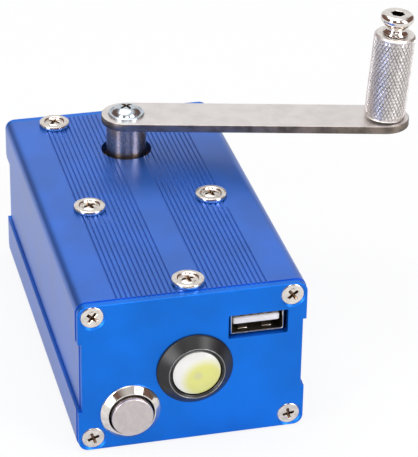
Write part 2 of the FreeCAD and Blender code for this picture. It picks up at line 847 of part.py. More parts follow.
def gear_face(teeth, module, phase):
    """Flat face of a spur gear with involute flanks; one tooth points at the phase angle."""
    pitch_radius = module * teeth / 2
    base = pitch_radius * math.cos(PRESSURE_ANGLE)
    tip = pitch_radius + TIP_SHARE * module
    root = pitch_radius - ROOT_SHARE * module
    thick = (math.pi * module / 2 - S.tooth_backlash.value) / pitch_radius / 2
    spread = thick + math.tan(PRESSURE_ANGLE) - PRESSURE_ANGLE
    start = max(base, root)
    flank = [(root, spread)] if root < base else []
    for step in range(FLANK_POINTS):
        radius = start + (tip - start) * step / (FLANK_POINTS - 1)
        slant = math.acos(min(1.0, base / radius))
        flank.append((radius, spread - (math.tan(slant) - slant)))
    points = []
    for tooth in range(teeth):
        middle = phase + 2 * math.pi * tooth / teeth
        points += [(radius, middle - angle) for radius, angle in flank]
        points += [(radius, middle + angle) for radius, angle in reversed(flank)]
    corners = [FreeCAD.Vector(r * math.cos(a), r * math.sin(a), 0) for r, a in points]
    return Part.Face(Part.makePolygon(corners + corners[:1]))


def mating_phase(teeth, phase, mate_teeth, direction):
    """Phase that puts a gap of the mating gear where this gear's tooth meets it."""
    return direction + math.pi + math.pi / mate_teeth - (phase - direction) * teeth / mate_teeth


def gear_solid(teeth, module, phase, low, high):
    face = gear_face(int(teeth.value), module.value, phase)
    face.translate(FreeCAD.Vector(0, 0, low.value))
    return face.extrude(FreeCAD.Vector(0, 0, high.value - low.value))


def round_bar(radius, low, high):
    return Part.makeCylinder(radius.value, high.value - low.value, FreeCAD.Vector(0, 0, low.value))


def computed_part(label, shape, axis_x, axis_y):
    """A node whose outline is computed point by point, set on its axis."""
    part = DOC.addObject("Part::Feature", label)
    part.Label = label
    part.Shape = shape
    place(part, (axis_x, axis_y, 0))
    PARTS.append(part)
    return part


TOWARDS_FRONT = -math.pi / 2
CRANK_PHASE = TOWARDS_FRONT
FIRST_PINION_PHASE = mating_phase(
    SIZES["crank_gear_teeth"], CRANK_PHASE, SIZES["first_pinion_teeth"], TOWARDS_FRONT)
FIRST_GEAR_PHASE = TOWARDS_FRONT
SECOND_PINION_PHASE = mating_phase(
    SIZES["first_gear_teeth"], FIRST_GEAR_PHASE, SIZES["second_pinion_teeth"], TOWARDS_FRONT)
SECOND_GEAR_PHASE = -TOWARDS_FRONT
ROTOR_PINION_PHASE = mating_phase(
    SIZES["second_gear_teeth"], SECOND_GEAR_PHASE, SIZES["rotor_pinion_teeth"], -TOWARDS_FRONT)


def hub_pin_level():
    return (BASE_FRAME_TOP + S.bush_flange + CRANK_GEAR_FOOT) / 2


def make_crank_gear():
    low = CRANK_GEAR_FOOT
    high = low + S.crank_gear_thick
    hub_foot = BASE_FRAME_TOP + S.bush_flange + S.end_play / 2
    hub_top = TOP_FRAME_FOOT - S.bush_flange - S.end_play / 2
    shape = gear_solid(S.crank_gear_teeth, S.coarse_module, CRANK_PHASE, low, high)
    shape = shape.fuse(round_bar(S.crank_hub_radius, hub_foot, low))
    shape = shape.fuse(round_bar(S.crank_hub_radius, high, hub_top))
    shape = shape.cut(round_bar(S.shaft_radius, hub_foot, hub_top))
    reach = S.crank_hub_radius.value
    pin = Part.makeCylinder(
        S.hub_pin_radius.value, 2 * reach, FreeCAD.Vector(-reach, 0, hub_pin_level().value),
        FreeCAD.Vector(1, 0, 0))
    computed_part("crank_gear", shape.cut(pin), *SHAFT_AXIS)


def make_hub_pin():
    body = new_body("crank_gear_pin")
    item = disc(0, hub_pin_level(), S.hub_pin_radius)
    add(body, "x", [item], -S.crank_hub_radius, S.crank_hub_radius)
    place(body, (S.shaft_x, SHAFT_Y, 0))


def make_first_idler():
    """Large gear below, small pinion above, one piece turning on the stub axle."""
    gear_top = FIRST_GEAR_FOOT + S.first_gear_thick
    pinion_top = CRANK_GEAR_FOOT + S.crank_gear_thick + S.tooth_overlap
    top = TOP_FRAME_FOOT - S.end_play
    collar = S.axle_radius + S.first_collar_wall
    low = FIRST_GEAR_FOOT
    shape = gear_solid(S.first_gear_teeth, S.middle_module, FIRST_GEAR_PHASE, low, gear_top)
    shape = shape.fuse(round_bar(collar, gear_top, FIRST_PINION_FOOT))
    pinion = gear_solid(
        S.first_pinion_teeth, S.coarse_module, FIRST_PINION_PHASE, FIRST_PINION_FOOT, pinion_top)
    shape = shape.fuse(pinion).fuse(round_bar(collar, pinion_top, top))
    shape = shape.cut(round_bar(S.axle_radius + S.running_gap, low, top))
    computed_part("first_idler_gear", shape, *ROTOR_AXIS)


def make_second_idler():
    """Large gear below, small pinion above, one piece turning on the long axle."""
    gear_top = SECOND_GEAR_FOOT + S.second_gear_thick
    top = SECOND_PINION_FOOT + S.second_pinion_thick
    collar = S.axle_radius + S.second_collar_wall
    foot = BASE_FRAME_TOP + S.end_play / 2
    shape = gear_solid(S.second_gear_teeth, S.fine_module, SECOND_GEAR_PHASE, SECOND_GEAR_FOOT, gear_top)
    shape = shape.fuse(round_bar(collar, foot, SECOND_GEAR_FOOT))
    shape = shape.fuse(round_bar(collar, gear_top, SECOND_PINION_FOOT))
    shape = shape.fuse(gear_solid(
        S.second_pinion_teeth, S.middle_module, SECOND_PINION_PHASE, SECOND_PINION_FOOT, top))
    shape = shape.cut(round_bar(S.axle_radius + S.running_gap, foot, top))
    computed_part("second_idler_gear", shape, *SECOND_AXIS)


def make_rotor_pinion():
    low = ROTOR_PINION_FOOT
    high = low + S.rotor_pinion_thick
    shape = gear_solid(S.rotor_pinion_teeth, S.fine_module, ROTOR_PINION_PHASE, low, high)
    shape = shape.cut(round_bar(S.rotor_shaft_radius, low, high))
    computed_part("rotor_pinion", shape, *ROTOR_AXIS)


def first_clip_foot():
    return FIRST_GEAR_FOOT - S.end_play / 2 - S.clip_thick


def second_clip_foot():
    return SECOND_PINION_FOOT + S.second_pinion_thick + S.end_play / 2


def make_axles():
    """Fixed axles pressed into the frame, each with a retaining clip in its groove."""
    neck = S.axle_radius - S.clip_groove
    clip = new_body("retaining_clip", keep=False)
    add(clip, "z", [disc(0, 0, S.clip_radius), disc(0, 0, neck)], 0, S.clip_thick)
    slot = block(S.clip_mouth_start, -S.clip_mouth_half, S.clip_radius + PAST, S.clip_mouth_half)
    cut(clip, "z", [slot], 0, S.clip_thick)
    clips = []
    for label, along, foot, level in (
        ("first_idler_axle", ROTOR_Y, first_clip_foot() - S.axle_past_clip, first_clip_foot()),
        ("second_idler_axle", SECOND_Y, BASE_FRAME_FOOT, second_clip_foot()),
    ):
        axle = new_body(label)
        add(axle, "z", [disc(0, 0, S.axle_radius)], foot, CEILING)
        ring = [disc(0, 0, S.axle_radius + PAST), disc(0, 0, neck)]
        cut(axle, "z", ring, level, level + S.clip_thick)
        place(axle, (S.shaft_x, along, 0))
        clips.append(((S.shaft_x, along, level), (0, 0, 1), 0.0))
    copies("idler_clips", clip, clips)


# Generator under the gearbox base plate

CAN_TOP = BASE_FRAME_FOOT
CAN_FOOT = S.floor_wall + S.can_floor_gap
CAN_HEIGHT = CAN_TOP - CAN_FOOT
STATOR_THICK = CAN_HEIGHT - 2 * (S.can_lid + S.coil_thick + S.coil_lid_gap)
MAGNET_HEIGHT = STATOR_THICK + 2 * S.magnet_overhang
LOWER_BEARING_FOOT = CAN_FOOT + S.bearing_sink
LOWER_BEARING_TOP = LOWER_BEARING_FOOT + S.bearing_height
UPPER_BEARING_FOOT = CAN_TOP - S.bearing_height
STATOR_FOOT = CAN_FOOT + (CAN_HEIGHT - STATOR_THICK) / 2
MAGNET_FOOT = CAN_FOOT + (CAN_HEIGHT - MAGNET_HEIGHT) / 2


def can_screw_spots():
    """Screws that hang the generator from the base plate, either side of its shaft."""
    return [(S.shaft_x + side * S.can_screw_ring, ROTOR_Y) for side in (-1, 1)]


def make_generator_can():
    body = new_body("generator_can")
    seat = S.bearing_radius + S.bearing_wall
    add(body, "z", [disc(0, 0, S.can_radius)], CAN_FOOT + S.can_lid, CAN_TOP)
    cut(body, "z", [disc(0, 0, S.can_radius - S.can_wall)], CAN_FOOT + S.can_lid, CAN_TOP - S.can_lid)
    add(body, "z", [disc(0, 0, seat)], UPPER_BEARING_FOOT, CAN_TOP)
    cut(body, "z", [disc(0, 0, S.bearing_radius)], UPPER_BEARING_FOOT, CAN_TOP)
    spots = [(side * S.can_screw_ring, 0) for side in (-1, 1)]
    hole = S.can_screw_radius + S.thread_gap
    cut(body, "z", [disc(x, y, hole) for x, y in spots], CAN_TOP - S.can_lid, CAN_TOP)
    place(body, (S.shaft_x, ROTOR_Y, 0))


def make_generator_lid():
    body = new_body("generator_end_cap")
    seat = S.bearing_radius + S.bearing_wall
    top = CAN_FOOT + S.can_lid
    spigot = S.can_radius - S.can_wall - S.lap_gap
    inner = spigot - S.lid_spigot_wall
    add(body, "z", [disc(0, 0, S.can_radius)], CAN_FOOT, top)
    add(body, "z", [disc(0, 0, spigot), disc(0, 0, inner)], top, top + S.can_lid)
    add(body, "z", [disc(0, 0, seat)], CAN_FOOT, LOWER_BEARING_TOP)
    cut(body, "z", [disc(0, 0, S.bearing_radius)], LOWER_BEARING_FOOT, LOWER_BEARING_TOP)
    place(body, (S.shaft_x, ROTOR_Y, 0))


def make_generator_bearings():
    for label, foot in (
        ("rotor_upper_bearing", UPPER_BEARING_FOOT), ("rotor_lower_bearing", LOWER_BEARING_FOOT),
    ):
        body = new_body(label)
        bore = S.rotor_shaft_radius + S.running_gap
        add(body, "z", [disc(0, 0, S.bearing_radius), disc(0, 0, bore)], foot, foot + S.bearing_height)
        place(body, (S.shaft_x, ROTOR_Y, 0))


def make_stator():
    """Laminated ring with inward poles, and a wound coil round each pole."""
    ring = S.can_radius - S.can_wall
    yoke = ring - S.stator_yoke
    coil = S.coil_thick
    core = new_body("generator_stator")
    top = STATOR_FOOT + STATOR_THICK
    add(core, "z", [disc(0, 0, ring), disc(0, 0, yoke)], STATOR_FOOT, top)
    half = S.pole_width / 2
    item = block(S.stator_bore - S.pole_spare, -half, yoke + S.pole_root, half)
    pole = add(core, "z", [item], STATOR_FOOT, top)
    pattern = polar(core, pole)
    core.Tip = pattern
    cut(core, "z", [disc(0, 0, S.stator_bore)], STATOR_FOOT - PAST, top + PAST)
    place(core, (S.shaft_x, ROTOR_Y, 0))
    winding = new_body("generator_coils")
    start = S.stator_bore + S.coil_start_gap
    finish = yoke - S.coil_end_gap
    low = STATOR_FOOT - coil
    high = top + coil
    outer = block(start, -half - coil, finish, half + coil)
    bundle = add(winding, "z", [outer], low, high)
    first = polar(winding, bundle)
    winding.Tip = first
    hollow = cut(winding, "z", [block(start - PAST, -half, finish + PAST, half)], STATOR_FOOT, top)
    winding.Tip = polar(winding, hollow)
    place(winding, (S.shaft_x, ROTOR_Y, 0))


def polar(body, feature):
    """Repeat a feature once for each pole round the body's own Z axis."""
    pattern = body.newObject("PartDesign::PolarPattern", "pole_ring")
    pattern.Originals = [feature]
    pattern.Axis = (feature.Profile[0], ["N_Axis"])
    pattern.Angle = 360.0
    bind(pattern, "Occurrences", S.pole_count)
    return pattern


def make_rotor():
    shaft = new_body("rotor_shaft")
    top = ROTOR_PINION_FOOT + S.rotor_pinion_thick
    foot = LOWER_BEARING_FOOT + S.rotor_shaft_setback
    add(shaft, "z", [disc(0, 0, S.rotor_shaft_radius)], foot, top)
    place(shaft, (S.shaft_x, ROTOR_Y, 0))
    magnet = new_body("rotor_magnet")
    ring = [disc(0, 0, S.magnet_radius), disc(0, 0, S.rotor_shaft_radius)]
    add(magnet, "z", ring, MAGNET_FOOT, MAGNET_FOOT + MAGNET_HEIGHT)
    place(magnet, (S.shaft_x, ROTOR_Y, 0))


def make_can_screws():
    length = S.base_frame_thick + S.can_lid
    screw = countersunk_screw("can_screw", 2 * S.can_screw_radius, S.can_screw_radius, length)
    copies("generator_screws", screw, upright(can_screw_spots(), BASE_FRAME_TOP))


# Crank

def make_crank_shaft():
    body = new_body("crank_shaft")
    spigot_top = ARM_FOOT + S.spigot_height
    add(body, "z", [disc(0, 0, S.shaft_radius)], BASE_FRAME_FOOT, ARM_FOOT)
    add(body, "z", [disc(0, 0, S.spigot_radius)], ARM_FOOT, spigot_top)
    for side in (-1, 1):
        beyond = S.spigot_radius + PAST
        edges = sorted((side * S.spigot_flat, side * beyond), key=as_value)
        cut(body, "z", [block(-beyond, edges[0], beyond, edges[1])], ARM_FOOT, spigot_top)
    hole = S.arm_screw_radius + S.thread_gap
    cut(body, "z", [disc(0, 0, hole)], ARM_TOP - S.arm_screw_length - S.hole_spare, spigot_top)
    place(body, (S.shaft_x, SHAFT_Y, 0), (0, 0, 1), S.arm_turn)
    return body


def cut_hub_pin_hole(shaft):
    """Cross hole for the gear's pin, square to the case although the shaft is turned."""
    hole = shaft.newObject("PartDesign::SubtractiveCylinder", "pin_hole")
    bind(hole, "Radius", S.hub_pin_radius)
    bind(hole, "Height", 2 * S.crank_hub_radius)
    reach = S.crank_hub_radius
    start = (-reach * cosine(S.arm_turn), reach * sine(S.arm_turn), hub_pin_level())
    turn = FreeCAD.Rotation(FreeCAD.Vector(0, 0, 1), -S.arm_turn.value)
    lie = FreeCAD.Rotation(FreeCAD.Vector(0, 1, 0), 90.0)
    hole.Placement = FreeCAD.Placement(FreeCAD.Vector(0, 0, 0), turn.multiply(lie))
    for letter, size in zip("xyz", start):
        bind(hole, ".Placement.Base." + letter, size)
    shaft.Tip = hole


def make_crank_arm():
    """Flat bar with round ends, a double-flat hole for the shaft and a hole for the pin."""
    body = new_body("crank_arm")
    half = S.arm_width / 2
    add(body, "z", [block(0, -half, S.arm_length, half)], ARM_FOOT, ARM_TOP)
    add(body, "z", [disc(0, 0, half)], ARM_FOOT, ARM_TOP)
    add(body, "z", [disc(S.arm_length, 0, half)], ARM_FOOT, ARM_TOP)
    keyed = body.newObject("PartDesign::SubtractiveCylinder", "shaft_hole")
    bind(keyed, "Radius", S.arm_screw_radius + S.clear_hole_gap)
    bind(keyed, "Height", S.arm_thick)
    place(keyed, (0, 0, ARM_FOOT))
    body.Tip = keyed
    flat = S.spigot_flat + S.lap_gap
    reach = S.spigot_radius - S.lap_gap
    cut(body, "z", [block(-reach, -flat, reach, flat)], ARM_FOOT, ARM_TOP)
    for side in (-1, 1):
        cap = disc(side * S.lap_gap, 0, S.spigot_radius)
        cut(body, "z", [cap], ARM_FOOT, ARM_FOOT + S.spigot_height + S.lap_gap)
    lean = body.newObject("PartDesign::SubtractiveCylinder", "pin_hole")
    depth = S.arm_thick + PAST
    bind(lean, "Radius", S.pin_rivet_radius)
    bind(lean, "Height", depth + PAST)
    start = (S.arm_length - sine(S.pin_lean) * depth, 0, ARM_TOP - cosine(S.pin_lean) * depth)
    place(lean, start, (0, 1, 0), S.pin_lean)
    body.Tip = lean
    place(body, (S.shaft_x, SHAFT_Y, 0), (0, 0, 1), S.arm_turn)


def grip_foot():
    """Point on the arm's top face where the leaning pin's axis leaves it."""
    return (
        S.shaft_x + cosine(S.arm_turn) * S.arm_length,
        SHAFT_Y + sine(S.arm_turn) * S.arm_length,
        ARM_TOP,
    )


def lean_part(part):
    """Stand a turned part on the pin's axis, which leans away from the crank shaft."""
    point = grip_foot()
    turn = FreeCAD.Rotation(FreeCAD.Vector(0, 0, 1), S.arm_turn.value)
    lean = FreeCAD.Rotation(FreeCAD.Vector(0, 1, 0), S.pin_lean.value)
    part.Placement = FreeCAD.Placement(FreeCAD.Vector(*[v.value for v in point]), turn.multiply(lean))
    for letter, size in zip("xyz", point):
        bind(part, ".Placement.Base." + letter, size)


def make_grip_pin():
    """Shouldered pin riveted through the arm, with a rounded head that keeps the grip on."""
    body = new_body("grip_pin")
    head_top = S.pin_head_foot + S.pin_head_height
    foot = S.pin_foot_gap - S.arm_thick
    turn_solid(body, [
        (0, foot), (S.pin_rivet_radius, foot), (S.pin_rivet_radius, S.pin_shoulder - S.pin_shoulder_slope),
        (S.pin_radius, S.pin_shoulder), (S.pin_radius, S.pin_head_foot),
        (S.pin_head_radius, S.pin_head_foot), (S.pin_head_radius, head_top), (0, head_top),
    ])
    for level in (S.pin_head_foot, head_top):
        round_edges(body, ring_edge(level, S.pin_head_radius), S.pin_head_rounding)
    cut(body, "z", [hexagon_at(0, 0, S.pin_hex / 2)], head_top - S.pin_hex_depth, head_top)
    lean_part(body)


def make_grip():
    body = new_body("grip")
    low = S.grip_gap
    high = low + S.grip_length
    bore = S.pin_radius + S.running_gap
    add(body, "z", [disc(0, 0, S.grip_radius), disc(0, 0, bore)], low, high)
    bevel_edges(body, ring_edge(low, S.grip_radius), S.grip_chamfer)
    bevel_edges(body, ring_edge(high, S.grip_radius), S.grip_chamfer)
    bevel_edges(body, ring_edge(high, bore), S.grip_chamfer)
    lean_part(body)


def make_arm_screw():
    sizes = (S.arm_head_radius, S.arm_head_height, S.arm_screw_radius, S.arm_screw_length)
    screw = pan_screw("arm_screw_master", *sizes)
    copies("arm_screw", screw, [((S.shaft_x, SHAFT_Y, ARM_TOP), (0, 0, 1), S.arm_turn)])


# Socket and circuit board

def make_usb_socket():
    mouth = FRONT + S.usb_recess
    back = mouth + S.usb_shell_length
    wide = S.usb_shell_width / 2
    tall = S.usb_shell_height / 2
    wall = S.usb_shell_wall
    shell = new_body("usb_shell")
    rim = [
        block(S.usb_x - wide, USB_Z - tall, S.usb_x + wide, USB_Z + tall),
        block(S.usb_x - wide + wall, USB_Z - tall + wall, S.usb_x + wide - wall, USB_Z + tall - wall),
    ]
    add(shell, "y", rim, mouth, back)
    tongue = new_body("usb_tongue")
    half = S.tongue_width / 2
    low = USB_Z + S.tongue_rise - S.tongue_thick / 2
    high = low + S.tongue_thick
    root = back - S.tongue_root
    add(tongue, "y", [block(S.usb_x - half, low, S.usb_x + half, high)], mouth + S.tongue_setback, root)
    add(tongue, "y", [rim[1]], root, back)
    contacts = new_body("usb_contacts")
    strips = []
    half_strip = S.contact_width / 2
    for order in (-1.5, -0.5, 0.5, 1.5):
        middle = S.usb_x + order * S.contact_pitch
        strips.append(block(middle - half_strip, high, middle + half_strip, high + S.contact_thick))
    add(contacts, "y", strips, mouth + S.tongue_setback + S.contact_setback, root)


def make_board():
    board = new_body("circuit_board")
    front = SHELL_FRONT + S.board_front_gap
    item = block(-BOARD_EDGE, front, BOARD_EDGE, BOARD_BACK)
    add(board, "z", [item], BOARD_FOOT, BOARD_TOP)
    hole = disc(0, BOARD_SCREW_Y, S.top_screw_radius + S.clear_hole_gap)
    cut(board, "z", [hole], BOARD_FOOT, BOARD_TOP)
    spacer = new_body("board_spacer")
    add(spacer, "z", [disc(0, BOARD_SCREW_Y, S.board_spacer_radius), hole], BOARD_TOP, CEILING)
    nut = new_body("board_nut")
    thread = disc(0, BOARD_SCREW_Y, S.top_screw_radius + S.thread_gap)
    hexagon = hexagon_at(0, BOARD_SCREW_Y, S.board_nut_half)
    add(nut, "z", [hexagon, thread], BOARD_FOOT - S.board_nut_thick, BOARD_FOOT)


def hexagon_at(x, y, flat_radius):
    """Hexagon with two flats square to the sketch's second axis."""
    half = flat_radius * HEXAGON_SIDE
    corner = 2 * half
    return outline([
        (x + corner, y), (x + half, y + flat_radius), (x - half, y + flat_radius), (x - corner, y),
        (x - half, y - flat_radius), (x + half, y - flat_radius),
    ])


def board_block(label, x, y, wide, long, tall):
    """A moulded block soldered under the board."""
    body = new_body(label)
    item = block(x - wide / 2, y - long / 2, x + wide / 2, y + long / 2)
    add(body, "z", [item], BOARD_FOOT - tall, BOARD_FOOT)


def make_board_parts():
    """The parts soldered under the board: three blocks and an upright capacitor."""
    regulator = (S.regulator_wide, S.regulator_long, S.regulator_tall)
    rectifier = (S.rectifier_wide, S.rectifier_long, S.rectifier_tall)
    inductor = (S.inductor_wide, S.inductor_long, S.inductor_tall)
    board_block("voltage_regulator", S.regulator_x, BOARD_BACK - S.regulator_setback, *regulator)
    board_block("rectifier_block", S.rectifier_x, BOARD_BACK - S.rectifier_setback, *rectifier)
    board_block("power_inductor", S.inductor_x, BOARD_BACK - S.inductor_setback, *inductor)
    body = new_body("storage_capacitor")
    across = BOARD_EDGE - S.capacitor_edge_gap - S.capacitor_radius
    item = disc(-across, BOARD_BACK - S.capacitor_setback, S.capacitor_radius)
    add(body, "z", [item], BOARD_FOOT - S.capacitor_tall, BOARD_FOOT)


# Lamp and push button, each turned about its own axis square to the front plate

def on_front(body, x, z):
    """Set a turned part on the front plate, its own +Z pointing out of the case."""
    place(body, (x, FRONT, z), (1, 0, 0), 90.0)


LAMP_Z = S.case_height / 2 - S.lamp_below_middle
SECOND_GEAR_TIP = S.fine_module * (S.second_gear_teeth / 2 + TIP_SHARE)
LAMP_DEPTH = SECOND_Y - SECOND_GEAR_TIP - S.lamp_gear_gap - S.insulator_thick - FRONT
LENS_STEPS = 6
LENS_FOOT = -S.lens_foot
LAMP_FLOOR = -S.lamp_floor
LAMP_TAIL = S.lamp_bore - S.lamp_ledge


def make_lamp():
    """Lamp barrel with its bezel, the dome lens, the emitter, the nut and the insulator."""
    housing = new_body("lamp_housing")
    back = -LAMP_DEPTH
    turn_solid(housing, [
        (S.lamp_bore, S.lamp_proud), (S.lamp_lip_radius, S.lamp_proud),
        (S.lamp_bezel_radius, S.lamp_rim_edge), (S.lamp_bezel_radius, 0),
        (S.lamp_thread_radius, 0), (S.lamp_thread_radius, back),
        (LAMP_TAIL, back), (LAMP_TAIL, LAMP_FLOOR), (S.lamp_bore, LAMP_FLOOR),
    ])
    on_front(housing, S.lamp_x, LAMP_Z)
    make_lens()
    star = new_body("lamp_emitter")
    rim = S.lamp_bore - S.emitter_gap
    step = LAMP_FLOOR + S.emitter_board
    crown = step + S.emitter_chip_rise
    turn_solid(star, [
        (0, LAMP_FLOOR), (rim, LAMP_FLOOR), (rim, step), (S.emitter_chip_radius, step),
        (S.emitter_chip_radius, crown), (0, crown),
    ])
    on_front(star, S.lamp_x, LAMP_Z)
    nut = new_body("lamp_nut")
    ring = [disc(0, 0, S.lamp_nut_radius), disc(0, 0, S.lamp_thread_radius + S.thread_gap)]
    add(nut, "z", ring, -S.plate_thick - S.nut_thick, -S.plate_thick)
    on_front(nut, S.lamp_x, LAMP_Z)
    socket = new_body("lamp_insulator")
    flange = S.lamp_thread_radius - S.insulator_wall
    add(socket, "z", [disc(0, 0, flange)], back - S.insulator_thick, back)
    add(socket, "z", [disc(0, 0, LAMP_TAIL - S.lap_gap)], back, back + S.insulator_plug)
    on_front(socket, S.lamp_x, LAMP_Z)


def make_lens():
    """Clear dome with a flange that the barrel holds, its crown a part of a ball."""
    lens = new_body("lamp_lens")
    crown = S.lamp_proud + S.lens_dome - S.lens_sink
    flange = S.lamp_bore - S.lens_gap
    shoulder = LENS_FOOT + S.lens_flange_thick
    ball = (S.lens_radius * S.lens_radius + S.lens_dome * S.lens_dome) / (2 * S.lens_dome)
    profile = [(0, LENS_FOOT), (flange, LENS_FOOT), (flange, shoulder), (S.lens_radius, shoulder)]
    for step in range(LENS_STEPS):
        share = step / LENS_STEPS
        radius = S.lens_radius * (1 - share * share)
        profile.append((radius, crown - ball + root_of(ball * ball - radius * radius)))
    profile.append((0, crown))
    turn_solid(lens, profile)
    on_front(lens, S.lamp_x, LAMP_Z)


def root_of(size):
    return Size(math.sqrt(size.value), "sqrt(" + size.text + ")")


def make_button():
    """Button barrel with its bezel, the cap on its stem, the nut and the contact block."""
    housing = new_body("button_housing")
    back = -S.button_depth
    floor = back + S.button_floor
    stem_hole = S.stem_radius + S.stem_gap
    turn_solid(housing, [
        (S.button_bore, S.button_proud), (S.button_lip_radius, S.button_proud),
        (S.button_bezel_radius, S.button_rim_edge), (S.button_bezel_radius, 0),
        (S.button_thread_radius, 0), (S.button_thread_radius, back), (stem_hole, back),
        (stem_hole, floor), (S.button_bore, floor),
    ])
    on_front(housing, S.button_x, S.button_z)
    cap = new_body("button_cap")
    cap_foot = S.cap_proud - S.cap_height
    stem_foot = floor + S.stem_reach
    turn_solid(cap, [
        (0, S.cap_proud), (0, stem_foot), (S.stem_radius, stem_foot), (S.stem_radius, cap_foot),
        (S.cap_radius, cap_foot), (S.cap_radius, S.cap_proud),
    ])
    round_edges(cap, ring_edge(S.cap_proud, S.cap_radius), S.cap_rounding)
    on_front(cap, S.button_x, S.button_z)
    nut = new_body("button_nut")
    thread = disc(0, 0, S.button_thread_radius + S.thread_gap)
    ring = [hexagon_at(0, 0, S.button_nut_flats / 2), thread]
    add(nut, "z", ring, -S.plate_thick - S.nut_thick, -S.plate_thick)
    on_front(nut, S.button_x, S.button_z)
    base = new_body("button_contact_block")
    item = disc(0, 0, S.button_thread_radius - S.contact_block_wall)
    add(base, "z", [item], back - S.contact_block_thick, back)
    on_front(base, S.button_x, S.button_z)
    make_button_spring(cap_foot, floor)


def make_button_spring(cap_foot, floor):
    """Coil spring between the cap and the floor of the button's barrel."""
    wire = S.spring_wire / 2
    seat = wire + S.lap_gap
    height = cap_foot - floor - 2 * seat
    spring = new_body("button_spring")
    section = draw(spring, "y", [disc(S.stem_radius + S.spring_clear, 0, wire)], 0, "wire_section")
    coil = spring.newObject("PartDesign::AdditiveHelix", "coil")
    coil.Profile = section
    coil.ReferenceAxis = (section, ["V_Axis"])
    coil.Mode = "pitch-turns-angle"
    bind(coil, "Turns", S.spring_turns)
    bind(coil, "Pitch", height / S.spring_turns)
    spring.Tip = coil
    place(spring, (S.button_x, FRONT - floor - seat, S.button_z), (1, 0, 0), 90.0)


def make_terminals():
    """Solder pins behind the lamp and the button."""
    for label, spread, foot, x, z in (
        ("lamp_terminals", S.lamp_pin_spread, -LAMP_DEPTH - S.insulator_thick, S.lamp_x, LAMP_Z),
        ("button_terminals", S.button_pin_spread, -S.button_depth - S.contact_block_thick,
         S.button_x, S.button_z),
    ):
        pins = new_body(label)
        ends = [disc(side * spread / 2, 0, S.solder_pin_radius) for side in (-1, 1)]
        add(pins, "z", ends, foot - S.solder_pin_length, foot)
        on_front(pins, x, z)


def build():
    make_upper_shell()
    make_lower_shell()
    make_end_plates()
    make_end_screws()
    make_top_screws()
    make_gearbox_frame()
    make_pillars()
    make_shaft_bushes()
    make_crank_gear()
    make_hub_pin()
    make_first_idler()
    make_second_idler()
    make_rotor_pinion()
    make_axles()
    make_generator_can()
    make_generator_lid()
    make_generator_bearings()
    make_stator()
    make_rotor()
    make_can_screws()
    cut_hub_pin_hole(make_crank_shaft())
    make_crank_arm()
    make_grip_pin()
    make_grip()
    make_arm_screw()
    make_usb_socket()
    make_board()
    make_board_parts()
    make_lamp()
    make_button()
    make_terminals()
    DOC.recompute()


CUTTERS = ("PartDesign::Pocket", "PartDesign::SubtractiveCone", "PartDesign::SubtractiveCylinder")
LEAST_CUT = 1e-6


def check():
    """Stop on any failed feature, empty shape or cut that removed nothing."""
    faults = []
    for item in DOC.Objects:
        if "Invalid" in item.State or "Error" in item.State:
            faults.append(item.Label + " failed")
        if item.TypeId in CUTTERS:
            before = item.BaseFeature.Shape.Volume
            if not item.Shape.Volume < before - LEAST_CUT:
                faults.append(item.Label + " cut nothing in " + item.getParentGeoFeatureGroup().Label)
    for part in PARTS:
        shape = part.Shape
        if shape.isNull() or not shape.isValid() or not shape.Solids:
            faults.append(part.Label + " has no valid solid")
    if faults:
        raise RuntimeError("; ".join(faults))


def write_parts():
    os.makedirs("parts", exist_ok=True)
    for part in PARTS:
        part.Shape.exportStep("parts/" + part.Label + ".step")
        print(part.Label, len(part.Shape.Solids), round(part.Shape.Volume, 2))


build()
check()
write_parts()
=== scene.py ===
"""Looks of the hand crank generator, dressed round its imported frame, in metres."""

import logging
import math
from collections.abc import Callable, Iterator, Sequence
from contextlib import contextmanager
from dataclasses import dataclass, field
from enum import Enum

import bpy
from mathutils import Matrix, Vector


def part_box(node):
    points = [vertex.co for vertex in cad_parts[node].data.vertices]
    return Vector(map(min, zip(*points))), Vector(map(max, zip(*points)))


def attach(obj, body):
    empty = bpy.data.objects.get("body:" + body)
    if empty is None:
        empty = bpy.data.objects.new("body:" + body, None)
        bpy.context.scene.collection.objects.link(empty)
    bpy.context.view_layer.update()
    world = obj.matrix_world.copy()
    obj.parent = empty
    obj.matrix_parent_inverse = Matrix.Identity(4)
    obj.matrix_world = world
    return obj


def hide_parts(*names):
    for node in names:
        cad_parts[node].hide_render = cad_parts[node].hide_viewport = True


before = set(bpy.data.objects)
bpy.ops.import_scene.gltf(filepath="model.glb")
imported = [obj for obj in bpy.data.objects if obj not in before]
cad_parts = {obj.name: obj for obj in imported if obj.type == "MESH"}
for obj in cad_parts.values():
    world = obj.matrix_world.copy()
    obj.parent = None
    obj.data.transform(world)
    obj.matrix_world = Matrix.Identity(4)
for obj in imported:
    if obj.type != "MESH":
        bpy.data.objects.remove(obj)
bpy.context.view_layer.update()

LOG = logging.getLogger("hand_crank_generator")
MM = 0.001
TINY = 1e-6
# How far a cutting tool stands out of what it cuts, in millimetres
CLEAR = 1.0
FULL_TURN = 2 * math.pi
ARM_TURN = math.radians(-13.5)
Color = tuple[float, float, float]
Corner = tuple[float, float]
WHITE: Color = (1.0, 1.0, 1.0)


class Body(Enum):
    """The bodies that pieces ride on."""

    CASE = "case"
    CRANK = "crank"
    GRIP = "grip"
    BUTTON = "button"


class Along(Enum):
    """The direction that a pattern of fine lines runs round or along."""

    X = 0
    Y = 1
    Z = 2


class Item(Enum):
    """What is picked in a mesh, by the name of Blender's select mode."""

    POINT = "VERT"
    EDGE = "EDGE"
    FACE = "FACE"


# Materials


